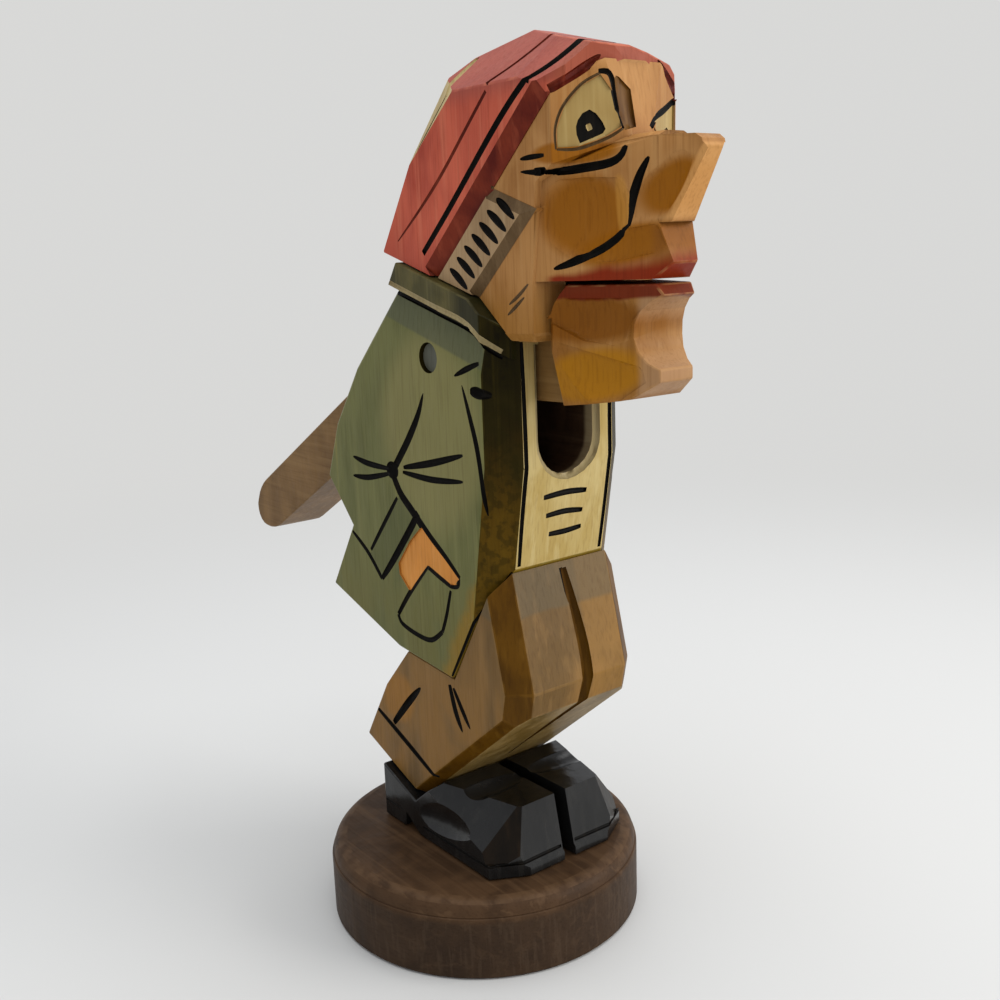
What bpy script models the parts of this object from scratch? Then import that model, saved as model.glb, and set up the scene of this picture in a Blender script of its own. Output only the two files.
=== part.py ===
"""A carved wooden lever nutcracker: a bent-kneed old man on a round turned base.

The figure is a stack of carved blocks (shoes, trousers, jacket, head) pinned with dowels. A long
lever runs through a slot in the jacket: its front end is the lower jaw, its rear end the handle, and
it turns on a dowel through the shoulders. Metres, +Z up. The figure faces -Y and its left is +X.
"""

import math

import bmesh
import bpy
from mathutils import Matrix, Vector

# Base
BASE_RADIUS = 0.0475
BASE_HEIGHT = 0.0232
BASE_ROUNDING = 0.0043
BASE_FOOT_CHAMFER = 0.0008

# The figure stands off the middle of the base, towards its own left
FIGURE_OFFSET = 0.0050

# Shoes, measured from the top of the base
SHOES_HALF_WIDTH = 0.0255
SHOE_GAP = 0.0043
TOE_REACH = 0.0352
TOE_HEIGHT = 0.0200
TOE_RAKE = 0.0042
TOE_CORNER_WIDTH = 0.0105
TOE_CORNER_DEPTH = 0.0060
SOLE_THICKNESS = 0.0038
SOLE_LIP = 0.0008
HEEL_REACH = 0.0245
HEEL_LENGTH = 0.0110
HEEL_NOTCH_LENGTH = 0.0079
HEEL_NOTCH_HEIGHT = 0.0049
INSTEP_WIDTH = 0.0105
INSTEP_TOE_FALL = 0.0130
INSTEP_ANKLE_FALL = 0.0030

# The trousers' lowest edge sits in a notch of the shoes: its distance behind the middle, and its height
ANKLE_BACK = 0.0073
ANKLE_HEIGHT = 0.0116

# Trousers: half width, front chamfers as (width, depth), and corners as (back, up) from the ankle edge
TROUSERS_HALF_WIDTH = 0.0230
THIGH_CHAMFER = (0.0060, 0.0050)
SHIN_CHAMFER = (0.0030, 0.0030)
CUFF_BACK = (0.0295, 0.0113)
CALF = (0.0165, 0.0320)
HIP = (-0.0203, 0.0446)
WAIST_FRONT = (-0.0410, 0.0794)
KNEE_TOP = (-0.0488, 0.0460)
KNEE_BOTTOM = (-0.0473, 0.0389)
# How far the trousers reach behind the hip, under the jacket's hem
SEAT_LENGTH = 0.0236

# Jacket: half width, chamfers as (width, depth), and corners as (back, up) from the hip
JACKET_HALF_WIDTH = 0.0236
JACKET_FRONT_CHAMFER = (0.0078, 0.0067)
JACKET_BACK_CHAMFER = (0.0030, 0.0030)
SHOULDER_SLOPE_WIDTH = 0.0016
SHOULDER_SLOPE_HEIGHT = 0.0110
HEM_MIDDLE = (0.0270, 0.0026)
HEM_BACK = (0.0640, 0.0146)
ELBOW_UNDER = (0.0500, 0.0363)
ELBOW = (0.0650, 0.0528)
BACK_LOW = (0.0582, 0.0688)
BACK_HIGH = (0.0440, 0.0873)
NAPE = (0.0222, 0.1078)
CHEST_TOP = (-0.0255, 0.0983)
CHEST_LOW = (-0.0256, 0.0628)

# Neck: the sloped seat that the head stands on, as (back, up) from the hip
NECK_BACK = (0.0172, 0.1163)
NECK_BREAK = (-0.0150, 0.1070)
COLLAR_HEIGHT = 0.0072
COLLAR_RISE = 0.0008
COLLAR_OVERHANG = 0.0007
COLLAR_BACK_LIP = 0.0042
COLLAR_FRONT_SETBACK = 0.0006
COLLAR_FRONT_CHAMFER = (0.0062, 0.0053)

# Lever slot through the jacket, and the lever's pivot dowel, as (back, up) from the neck's back edge
SLOT_WIDTH = 0.0194
SLOT_DEPTH = 0.0312
SLOT_SLOPE = math.radians(7)
LEVER_SIDE_CLEARANCE = 0.0005
PIVOT = (-0.0127, -0.0255)
PIVOT_DIAMETER = 0.0078
PIVOT_CLEARANCE = 0.0004
PIVOT_RECESS = 0.0012

# Head: half widths of its layers, and corners as (back, up) from the neck's back edge
CAP_HALF_WIDTH = 0.0230
SIDEBURN_HALF_WIDTH = 0.0220
FACE_HALF_WIDTH = 0.0205
CAP_BACK_LOW = (0.0140, 0.0020)
CAP_BACK_MIDDLE = (-0.0036, 0.0282)
CAP_BACK_TOP = (-0.0247, 0.0504)
CAP_TOP = (-0.0410, 0.0548)
CAP_FRONT = (-0.0680, 0.0478)
BRIM_FRONT = (-0.0688, 0.0445)
BRIM_CORNER = (-0.0625, 0.0373)
BRIM_FOOT = (-0.0160, -0.0043)
CAP_TOP_FLAT = 0.0070
CAP_FRONT_FLAT = 0.0112
CAP_FRONT_SLANT = math.radians(17)
CAP_TOP_SLOPE = math.radians(40)
CAP_BACK_CHAMFER = (0.0050, 0.0050)
SIDEBURN_LENGTH = 0.0158
SIDEBURN_HEIGHT = 0.0360
SIDEBURN_TILT = math.radians(-30)
FOREHEAD_TOP = (-0.0682, 0.0445)
FOREHEAD_FOOT = (-0.0708, 0.0270)
EYE_LEDGE_BACK = (-0.0562, 0.0180)
EYE_SLANT = math.radians(27)
FOREHEAD_TOP_HALF_WIDTH = 0.0090
JOWL_FRONT = 0.0540
JOWL_DEPTH = 0.0148
JOWL_CHAMFER = 0.0020

# Muzzle: cheeks and upper lip taper to a narrow front, with the nose over them
MUZZLE_BACK = 0.0562
MUZZLE_BACK_HALF_WIDTH = 0.0185
MUZZLE_TAPER = math.radians(26.9)
NOSE_BRIDGE_HEIGHT = 0.0278
NOSE_RIDGE_HALF_WIDTH = 0.0035
NOSE_SIDE_SLOPE = math.radians(25)
NOSE_FRONT_HALF_WIDTH = 0.0038
NOSE_TAPER = math.radians(9)
NOSE_TIP = (-0.0925, 0.0262)
NOSE_TIP_LOW = (-0.0934, 0.0230)
NOSE_BASE = (-0.0838, 0.0076)
LIP_TOP = (-0.0814, 0.0082)
LIP_FRONT = (-0.0848, -0.0015)
LIP_UNDER = 0.0803

# Jaw and lever: sizes from the pivot; corners as (back, up) from it
PALATE_HEIGHT = 0.0203
MOUTH_GAP = 0.0010
NUT_GROOVE = 0.0008
JAW_DEPTH = 0.0298
JAW_CLEARANCE = 0.0010
JAW_BACK_HALF_WIDTH = 0.0175
JAW_FRONT_HALF_WIDTH = 0.0052
JAW_FOOT_HALF_WIDTH = 0.0125
JAW_FOOT_RISE = 0.0026
JAW_LIP_FRONT = (-0.0702, 0.0166)
JAW_LIP_SETBACK = 0.0020
JAW_HOLLOW_DEPTH = 0.0066
JAW_CHIN_TOP = (-0.0692, -0.0005)
JAW_CHIN_FRONT = (-0.0692, -0.0035)
JAW_CHIN_FOOT = -0.0622
JAW_CHEEK_HEIGHT = 0.0100
ARM_STEP = 0.0003
ARM_CREST_BACK = -0.0180
ARM_TOP = (0.0060, 0.0130)
ARM_SHOULDER = (0.0235, 0.0085)
ARM_UNDER_FRONT = (0.0120, -0.0120)
HANDLE_UNDER_START = 0.0300
HANDLE_LENGTH = 0.1397
HANDLE_SLOPE = math.radians(30)
HANDLE_DEPTH = 0.0183
HANDLE_ROUNDING = 0.0140

# Dowels, screws and gaps
DOWEL_DIAMETER = 0.0060
DOWEL_DEPTH = 0.0130
DOWEL_SPREAD = 0.0150
GLUE_GAP = 0.0003
SEAT_DROP = 0.0006
NECK_DOWEL_BACK = -0.0060
WAIST_DOWEL_BACK = 0.0110
ANKLE_DOWEL_BACK = 0.0070
ANKLE_DOWEL_DEPTH = 0.0080
SCREW_DIAMETER = 0.0042
SCREW_HEAD_DIAMETER = 0.0083
SCREW_LENGTH = 0.0350
SCREW_SINK = 0.0010
SCREW_TIP_LENGTH = 0.0060
SCREW_HEAD_HEIGHT = 0.0026
SCREW_FORWARD = 0.0160

BASE_STEPS = 96
DOWEL_STEPS = 24
SLOT_STEPS = 12
HANDLE_STEPS = 14
HOLLOW_STEPS = 7
ROUNDING_STEPS = 6
# How far a cutting shape passes the surface that it opens
OVERCUT = 0.0100
# Points nearer than this are one, and faces flatter than this angle are one
WELD = 1e-7
FLAT = math.radians(0.05)

# Outlines in the side view map (back, up) to Y and Z, and their thickness to X
SIDE_VIEW = Matrix(((0, 0, 1, 0), (1, 0, 0, 0), (0, 1, 0, 0), (0, 0, 0, 1)))
# Outlines in the front view map (left, up) to X and Z, and their thickness to Y
FRONT_VIEW = Matrix(((1, 0, 0, 0), (0, 0, -1, 0), (0, 1, 0, 0), (0, 0, 0, 1)))

for old in list(bpy.data.objects):
    bpy.data.objects.remove(old, do_unlink=True)

PARTS = bpy.data.collections.new("nutcracker")
CUTTERS = bpy.data.collections.new("nutcracker_cutters")
for group in (PARTS, CUTTERS):
    bpy.context.scene.collection.children.link(group)

# Landmarks of the figure, as (back, up) from the middle of the base's top
ANKLE = Vector((ANKLE_BACK, ANKLE_HEIGHT))
HIP_POINT = ANKLE + Vector(HIP)
WAIST_POINT = ANKLE + Vector(WAIST_FRONT)
NECK_POINT = HIP_POINT + Vector(NECK_BACK)
BREAK_POINT = HIP_POINT + Vector(NECK_BREAK)
CHEST_POINT = HIP_POINT + Vector(CHEST_TOP)
PIVOT_POINT = NECK_POINT + Vector(PIVOT)
PALATE = PIVOT_POINT.y + PALATE_HEIGHT
JOWL_FACE = NECK_POINT.x - JOWL_FRONT
SHOE_CENTRE = (SHOES_HALF_WIDTH + SHOE_GAP / 2) / 2


def placed(corners, origin):
    """The corners, given from an origin, as points of the figure."""
    return [origin + Vector(corner) for corner in corners]


def height_on(start, end, back):
    """The height of the line through two outline points, at a distance back."""
    share = (back - start.x) / (end.x - start.x)
    return start.y + share * (end.y - start.y)


def arc(centre, radius_back, radius_up, first, last, steps):
    """Points of an ellipse's arc, the ends included."""
    points = []
    for step in range(steps + 1):
        angle = first + (last - first) * step / steps
        points.append(centre + Vector((radius_back * math.cos(angle), radius_up * math.sin(angle))))
    return points


def material(name, colour, roughness, metallic=0.0):
    """A plain finish with the piece's main colour."""
    finish = bpy.data.materials.new(name)
    finish.use_nodes = True
    shader = finish.node_tree.nodes["Principled BSDF"]
    shader.inputs["Base Color"].default_value = (*colour, 1.0)
    shader.inputs["Roughness"].default_value = roughness
    shader.inputs["Metallic"].default_value = metallic
    return finish


def tidied(mesh):
    """Weld the mesh, dissolve its flat seams and turn its faces out."""
    work = bmesh.new()
    work.from_mesh(mesh)
    bmesh.ops.remove_doubles(work, verts=work.verts, dist=WELD)
    bmesh.ops.dissolve_limit(work, angle_limit=FLAT, verts=work.verts, edges=work.edges)
    bmesh.ops.recalc_face_normals(work, faces=work.faces)
    work.to_mesh(mesh)
    work.free()
    return mesh


def evaluated(item):
    """The object's mesh with its modifiers, as a mesh of its own; the object is removed."""
    bpy.context.view_layer.update()
    graph = bpy.context.evaluated_depsgraph_get()
    mesh = bpy.data.meshes.new_from_object(item.evaluated_get(graph))
    bpy.data.objects.remove(item, do_unlink=True)
    return mesh


def slab(outline, half_thickness, view=SIDE_VIEW):
    """A flat outline given its thickness, as sawn from a board."""
    curve = bpy.data.curves.new("outline", "CURVE")
    curve.dimensions = "2D"
    curve.fill_mode = "BOTH"
    curve.extrude = half_thickness
    spline = curve.splines.new("POLY")
    spline.points.add(len(outline) - 1)
    for point, corner in zip(spline.points, outline):
        point.co = (corner[0], corner[1], 0.0, 1.0)
    spline.use_cyclic_u = True
    drawn = bpy.data.objects.new("outline", curve)
    CUTTERS.objects.link(drawn)
    mesh = evaluated(drawn)
    mesh.transform(view)
    return tidied(mesh)


def shaved(mesh, point, normal):
    """Cut away what lies outside a plane, as one stroke of a knife."""
    work = bmesh.new()
    work.from_mesh(mesh)
    everything = list(work.verts) + list(work.edges) + list(work.faces)
    cut = bmesh.ops.bisect_plane(
        work, geom=everything, dist=WELD, plane_co=point, plane_no=normal, clear_outer=True
    )
    rim = [part for part in cut["geom_cut"] if isinstance(part, bmesh.types.BMEdge)]
    bmesh.ops.holes_fill(work, edges=rim, sides=len(rim))
    bmesh.ops.recalc_face_normals(work, faces=work.faces)
    work.to_mesh(mesh)
    work.free()
    return mesh


def shaved_pair(mesh, point, normal):
    """The same stroke on the left and on the right."""
    for side in (1, -1):
        shaved(mesh, (side * point[0], point[1], point[2]), (side * normal[0], normal[1], normal[2]))
    return mesh


def edge_chamfers(mesh, outline_edge, half_width, size):
    """Break both side edges of one face of a slab; the outline runs anticlockwise in the side view.

    The size is the chamfer's width across the face, and its depth down the slab's side.
    """
    start, end = outline_edge
    width, depth = size
    along = (end - start).normalized()
    normal = (depth, width * along.y, -width * along.x)
    return shaved_pair(mesh, (half_width - width, start.x, start.y), normal)


def part(name, mesh, finish, parent, origin=(0.0, 0.0, 0.0)):
    """One piece of the nutcracker, in its collection and with its own finish."""
    item = bpy.data.objects.new(name, mesh)
    item.parent = parent
    item.location = origin
    mesh.materials.clear()
    mesh.materials.append(finish)
    PARTS.objects.link(item)
    return item


def cutter(name, mesh, parent, origin=(0.0, 0.0, 0.0)):
    """A shape that only cuts others."""
    item = bpy.data.objects.new(name, mesh)
    item.parent = parent
    item.location = origin
    item.hide_render = True
    item.display_type = "WIRE"
    CUTTERS.objects.link(item)
    return item


def cut(item, tool):
    """Take the tool's shape out of the item."""
    stroke = item.modifiers.new(tool.name, "BOOLEAN")
    stroke.operation = "DIFFERENCE"
    stroke.solver = "EXACT"
    stroke.object = tool


def union(meshes):
    """One closed mesh of several that overlap."""
    whole = bpy.data.objects.new("whole", meshes[0])
    CUTTERS.objects.link(whole)
    helpers = []
    for mesh in meshes[1:]:
        helper = bpy.data.objects.new("share", mesh)
        CUTTERS.objects.link(helper)
        helpers.append(helper)
        joint = whole.modifiers.new("join", "BOOLEAN")
        joint.operation = "UNION"
        joint.solver = "EXACT"
        joint.object = helper
    mesh = evaluated(whole)
    for helper in helpers:
        bpy.data.objects.remove(helper, do_unlink=True)
    return tidied(mesh)


def rod(radius, length, steps=DOWEL_STEPS, axis="Z"):
    """A cylinder along an axis, with its middle at the origin."""
    work = bmesh.new()
    bmesh.ops.create_cone(
        work, cap_ends=True, segments=steps, radius1=radius, radius2=radius, depth=length
    )
    turns = {"Z": Matrix.Identity(4), "X": Matrix.Rotation(math.pi / 2, 4, "Y")}
    bmesh.ops.transform(work, matrix=turns[axis], verts=work.verts)
    mesh = bpy.data.meshes.new("rod")
    work.to_mesh(mesh)
    work.free()
    return mesh


def smooth(item, angle=math.radians(35)):
    """Shade a round piece smooth, with its edges kept sharp."""
    item.data.shade_smooth()
    item.data.set_sharp_from_angle(angle=angle)


def turned(outline, steps):
    """A turned shape: its profile runs down its outer side, top to bottom."""
    mesh = bpy.data.meshes.new("profile")
    points = [(radius, 0.0, height) for radius, height in outline]
    mesh.from_pydata(points, [(index, index + 1) for index in range(len(points) - 1)], [])
    blank = bpy.data.objects.new("profile", mesh)
    CUTTERS.objects.link(blank)
    screw = blank.modifiers.new("turn", "SCREW")
    screw.steps = steps
    screw.render_steps = steps
    screw.use_merge_vertices = True
    screw.merge_threshold = WELD
    return tidied(evaluated(blank))


def make_base():
    """The round base, with a rounded shoulder and two countersunk holes."""
    shoulder = Vector((BASE_RADIUS - BASE_ROUNDING, BASE_HEIGHT - BASE_ROUNDING))
    outline = [Vector((0.0, BASE_HEIGHT))]
    outline += arc(shoulder, BASE_ROUNDING, BASE_ROUNDING, math.pi / 2, 0.0, ROUNDING_STEPS)
    outline += [Vector((BASE_RADIUS, BASE_FOOT_CHAMFER)), Vector((BASE_RADIUS - BASE_FOOT_CHAMFER, 0.0))]
    outline += [Vector((0.0, 0.0))]
    base = part("base", turned(outline, BASE_STEPS), material("walnut", (0.085, 0.042, 0.026), 0.45), None)
    smooth(base)
    return base


def shoe_mesh():
    """The left shoe: sole, heel, notched top and a blunt faceted toe."""
    shin = Vector(KNEE_BOTTOM)
    cuff = Vector(CUFF_BACK)
    notch = ANKLE - Vector((0.0, SEAT_DROP))
    instep_back = notch.x + (TOE_HEIGHT - notch.y) * shin.x / shin.y
    heel_top = notch.y + (HEEL_REACH - notch.x) * cuff.y / cuff.x
    heel_front = HEEL_REACH - HEEL_LENGTH
    outline = [
        (-TOE_REACH + TOE_RAKE, TOE_HEIGHT),
        (-TOE_REACH + SOLE_LIP, SOLE_THICKNESS),
        (-TOE_REACH, SOLE_THICKNESS - SOLE_LIP),
        (-TOE_REACH, GLUE_GAP),
        (heel_front - HEEL_NOTCH_LENGTH, GLUE_GAP),
        (heel_front - SOLE_LIP, HEEL_NOTCH_HEIGHT),
        (heel_front, GLUE_GAP),
        (HEEL_REACH, GLUE_GAP),
        (HEEL_REACH, heel_top),
        notch,
        (instep_back, TOE_HEIGHT),
    ]
    mesh = slab(outline, (SHOES_HALF_WIDTH - SHOE_GAP / 2) / 2)
    mesh.transform(Matrix.Translation((SHOE_CENTRE, 0.0, 0.0)))
    toe_corner = (SHOES_HALF_WIDTH - TOE_CORNER_WIDTH, -TOE_REACH, 0.0)
    shaved(mesh, toe_corner, (TOE_CORNER_DEPTH, -TOE_CORNER_WIDTH, 0.0))
    inner = Vector((SHOES_HALF_WIDTH - INSTEP_WIDTH, -TOE_REACH + TOE_RAKE, TOE_HEIGHT))
    outer = Vector((SHOES_HALF_WIDTH, -TOE_REACH + TOE_CORNER_DEPTH, TOE_HEIGHT - INSTEP_TOE_FALL))
    ankle = Vector((SHOES_HALF_WIDTH, 0.0, TOE_HEIGHT - INSTEP_ANKLE_FALL))
    return shaved(mesh, inner, (outer - inner).cross(ankle - inner))


def mirrored(mesh):
    """The same shape for the other side."""
    other = mesh.copy()
    other.transform(Matrix.Scale(-1.0, 4, (1.0, 0.0, 0.0)))
    return tidied(other)


def screw_outline(grow):
    """Half the outline of a countersunk screw, point up, larger all round by a clearance."""
    shank = SCREW_DIAMETER / 2 + grow
    head = SCREW_HEAD_DIAMETER / 2 + grow
    return [
        (0.0, SCREW_LENGTH + grow),
        (shank, SCREW_LENGTH - SCREW_TIP_LENGTH),
        (shank, SCREW_HEAD_HEIGHT + grow),
        (head, grow),
        (head, -OVERCUT if grow else -GLUE_GAP),
        (0.0, -OVERCUT if grow else -GLUE_GAP),
    ]


def make_shoes(figure, base):
    """Both shoes, with the screws that hold them down on the base."""
    leather = material("shoe_black", (0.010, 0.010, 0.012), 0.22)
    steel = material("screw_steel", (0.55, 0.54, 0.52), 0.35, 1.0)
    left = shoe_mesh()
    shoes = {}
    for name, side, mesh in (("right", -1, mirrored(left)), ("left", 1, left)):
        shoe = part("shoe_" + name, mesh, leather.copy(), figure)
        place = (side * SHOE_CENTRE, -SCREW_FORWARD, SCREW_SINK - BASE_HEIGHT)
        shank = turned(screw_outline(0.0), DOWEL_STEPS)
        smooth(part("base_screw_" + name, shank, steel.copy(), figure, place))
        drilled = turned(screw_outline(GLUE_GAP), DOWEL_STEPS)
        hole = cutter("screw_hole_" + name, drilled, figure, place)
        cut(base, hole)
        cut(shoe, hole)
        shoes[name] = shoe
    return shoes


def make_trousers(figure):
    """Bent knees: the thighs come forward to the knee, the shins go back down to the cuffs."""
    hem_middle = HIP_POINT + Vector(HEM_MIDDLE)
    seat_back = HIP_POINT.x + SEAT_LENGTH
    drop = Vector((0.0, SEAT_DROP))
    waist = WAIST_POINT - drop
    knee_top, knee_bottom, cuff, calf = placed((KNEE_TOP, KNEE_BOTTOM, CUFF_BACK, CALF), ANKLE)
    seat = Vector((seat_back, height_on(HIP_POINT, hem_middle, seat_back))) - drop
    outline = [waist, knee_top, knee_bottom, ANKLE, cuff, calf, seat, HIP_POINT - drop]
    mesh = slab(outline, TROUSERS_HALF_WIDTH)
    edge_chamfers(mesh, (waist, knee_top), TROUSERS_HALF_WIDTH, THIGH_CHAMFER)
    edge_chamfers(mesh, (knee_top, knee_bottom), TROUSERS_HALF_WIDTH, THIGH_CHAMFER)
    edge_chamfers(mesh, (knee_bottom, ANKLE), TROUSERS_HALF_WIDTH, SHIN_CHAMFER)
    return part("trousers", mesh, material("trouser_brown", (0.150, 0.080, 0.035), 0.40), figure)


def make_jacket(figure):
    """The body block: jacket and shirt, with a raised collar and the lever's slot."""
    corners = (HEM_MIDDLE, HEM_BACK, ELBOW_UNDER, ELBOW, BACK_LOW, BACK_HIGH, NAPE)
    hem_middle, hem_back, elbow_under, elbow, back_low, back_high, nape = placed(corners, HIP_POINT)
    chest_low = HIP_POINT + Vector(CHEST_LOW)
    rise = Vector((0.0, COLLAR_RISE))
    outline = [CHEST_POINT - rise, chest_low, WAIST_POINT, HIP_POINT, hem_middle, hem_back]
    outline += [elbow_under, elbow, back_low, back_high, nape, NECK_POINT - rise, BREAK_POINT - rise]
    body = slab(outline, JACKET_HALF_WIDTH)
    for edge in ((CHEST_POINT, chest_low), (chest_low, WAIST_POINT)):
        edge_chamfers(body, edge, JACKET_HALF_WIDTH, JACKET_FRONT_CHAMFER)
    for edge in ((elbow, back_low), (back_low, back_high), (back_high, nape)):
        edge_chamfers(body, edge, JACKET_HALF_WIDTH, JACKET_BACK_CHAMFER)
    seat = (NECK_POINT - BREAK_POINT).normalized()
    slope_foot = BREAK_POINT.y - COLLAR_HEIGHT - SHOULDER_SLOPE_HEIGHT
    tilt = SHOULDER_SLOPE_WIDTH / SHOULDER_SLOPE_HEIGHT
    shaved_pair(body, (JACKET_HALF_WIDTH, BREAK_POINT.x, slope_foot), (1.0, -tilt * seat.y, tilt * seat.x))

    below = Vector((0.0, COLLAR_HEIGHT))
    front = CHEST_POINT + Vector((COLLAR_FRONT_SETBACK, 0.0))
    front.y = height_on(BREAK_POINT, CHEST_POINT, front.x)
    back_lip = NECK_POINT - below + Vector((COLLAR_BACK_LIP, 0.0))
    back_lip.y = height_on(BREAK_POINT, NECK_POINT, back_lip.x) - COLLAR_HEIGHT
    collar_half = JACKET_HALF_WIDTH + COLLAR_OVERHANG
    outline = [front, front - below, BREAK_POINT - below, back_lip, NECK_POINT, BREAK_POINT]
    collar = slab(outline, collar_half)
    edge_chamfers(collar, (front, front - below), collar_half, COLLAR_FRONT_CHAMFER)

    mesh = union([body, collar])
    return part("jacket", mesh, material("jacket_green", (0.090, 0.100, 0.035), 0.38), figure)


def cut_slot(figure, jacket):
    """Cut the round-bottomed slot that the lever runs in, from front to back."""
    radius = SLOT_WIDTH / 2
    outline = arc(Vector((0.0, radius)), radius, radius, math.pi, 2 * math.pi, SLOT_STEPS)
    top = SLOT_DEPTH + PALATE_HEIGHT + 2 * OVERCUT
    outline += [Vector((radius, top)), Vector((-radius, top))]
    reach = ELBOW[0] - CHEST_TOP[0] + OVERCUT
    mesh = slab(outline, reach, FRONT_VIEW)
    slot = cutter("lever_slot", mesh, figure, (0.0, CHEST_POINT.x, PIVOT_POINT.y - SLOT_DEPTH))
    slot.rotation_euler = (-SLOT_SLOPE, 0.0, 0.0)
    cut(jacket, slot)


def cap_mesh():
    """The cap: its brim climbs forward, its crown is chamfered at the top and the back."""
    front_corners = (CAP_FRONT, BRIM_FRONT, BRIM_CORNER, BRIM_FOOT)
    front, brim_front, brim_corner, brim_foot = placed(front_corners, NECK_POINT)
    back_corners = (CAP_BACK_LOW, CAP_BACK_MIDDLE, CAP_BACK_TOP, CAP_TOP)
    back_low, back_middle, back_top, top = placed(back_corners, NECK_POINT)
    under = Vector((0.0, OVERCUT))
    outline = [front, brim_front, brim_corner, brim_foot, brim_foot - under, back_low - under]
    outline += [back_low, back_middle, back_top, top]
    mesh = slab(outline, CAP_HALF_WIDTH)
    fall = (front - top).normalized()
    steep, level = math.sin(CAP_TOP_SLOPE), math.cos(CAP_TOP_SLOPE)
    shaved_pair(mesh, (CAP_TOP_FLAT, top.x, top.y), (steep, 0.0, level))
    shaved_pair(mesh, (CAP_FRONT_FLAT, front.x, front.y), (steep, level * fall.y, -level * fall.x))
    slant = (math.sin(CAP_FRONT_SLANT), -math.cos(CAP_FRONT_SLANT), 0.0)
    shaved_pair(mesh, (NOSE_RIDGE_HALF_WIDTH, brim_front.x, 0.0), slant)
    for edge in ((back_low, back_middle), (back_middle, back_top), (back_top, top)):
        edge_chamfers(mesh, edge, CAP_HALF_WIDTH, CAP_BACK_CHAMFER)
    return mesh


def sideburn_mesh():
    """The raised hair in front of the ear, under the brim."""
    brim_corner, brim_foot = placed((BRIM_CORNER, BRIM_FOOT), NECK_POINT)
    climb = (brim_corner - brim_foot).normalized() * SIDEBURN_HEIGHT
    reach = Vector((-math.cos(SIDEBURN_TILT), math.sin(SIDEBURN_TILT))) * SIDEBURN_LENGTH
    under = climb.normalized() * OVERCUT
    inner = Vector((OVERCUT, 0.0))
    top = brim_foot + climb
    foot = brim_foot - under
    return slab([top + reach, foot + reach, foot + inner, top + inner], SIDEBURN_HALF_WIDTH)


def face_mesh():
    """The face behind the muzzle: forehead, eye planes, and jowls beside the jaw."""
    corners = (FOREHEAD_TOP, FOREHEAD_FOOT, EYE_LEDGE_BACK, BRIM_FOOT, BRIM_CORNER)
    forehead, forehead_foot, ledge_back, brim_foot, brim_corner = placed(corners, NECK_POINT)
    bottom = PALATE - JOWL_DEPTH
    outline = [
        forehead,
        forehead_foot,
        ledge_back,
        (JOWL_FACE, PALATE),
        (JOWL_FACE, bottom + JOWL_CHAMFER),
        (JOWL_FACE + JOWL_CHAMFER, bottom),
        (NECK_POINT.x, bottom),
        brim_foot + Vector((OVERCUT, 0.0)),
        brim_corner + Vector((OVERCUT, -OVERCUT / 2)),
    ]
    mesh = slab(outline, FACE_HALF_WIDTH)
    shaved_pair(mesh, (FACE_HALF_WIDTH - JOWL_CHAMFER, 0.0, bottom), (1.0, 0.0, -1.0))
    inner = Vector((NOSE_RIDGE_HALF_WIDTH, forehead_foot.x, forehead_foot.y))
    inner_top = Vector((FOREHEAD_TOP_HALF_WIDTH, forehead.x, forehead.y))
    outward = Vector((math.cos(EYE_SLANT), math.sin(EYE_SLANT), 0.0))
    return shaved_pair(mesh, inner, outward.cross(inner_top - inner))


def muzzle_mesh():
    """Cheeks and upper lip, tapering forward over the mouth."""
    lip_top, lip_front = placed((LIP_TOP, LIP_FRONT), NECK_POINT)
    back = NECK_POINT.x - MUZZLE_BACK
    bridge = NECK_POINT.y + NOSE_BRIDGE_HEIGHT
    outline = [
        (lip_top.x, bridge),
        lip_top,
        lip_front,
        (NECK_POINT.x - LIP_UNDER, PALATE),
        (back + OVERCUT, PALATE),
        (back + OVERCUT, bridge),
    ]
    mesh = slab(outline, FACE_HALF_WIDTH)
    taper = (math.cos(MUZZLE_TAPER), -math.sin(MUZZLE_TAPER), 0.0)
    shaved_pair(mesh, (MUZZLE_BACK_HALF_WIDTH, back, 0.0), taper)
    slope = (math.sin(NOSE_SIDE_SLOPE), 0.0, math.cos(NOSE_SIDE_SLOPE))
    return shaved_pair(mesh, (NOSE_RIDGE_HALF_WIDTH, 0.0, bridge - GLUE_GAP), slope)


def nose_mesh():
    """The long straight nose, blunt in front."""
    tip, tip_low, base = placed((NOSE_TIP, NOSE_TIP_LOW, NOSE_BASE), NECK_POINT)
    bridge = NECK_POINT.y + NOSE_BRIDGE_HEIGHT
    back = NECK_POINT.x - MUZZLE_BACK
    mesh = slab([tip, tip_low, base, (back, base.y), (back, bridge)], FACE_HALF_WIDTH)
    taper = (math.cos(NOSE_TAPER), -math.sin(NOSE_TAPER), 0.0)
    shaved_pair(mesh, (NOSE_FRONT_HALF_WIDTH, tip.x, 0.0), taper)
    slope = (math.sin(NOSE_SIDE_SLOPE), 0.0, math.cos(NOSE_SIDE_SLOPE))
    return shaved_pair(mesh, (NOSE_RIDGE_HALF_WIDTH, 0.0, bridge), slope)


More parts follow.
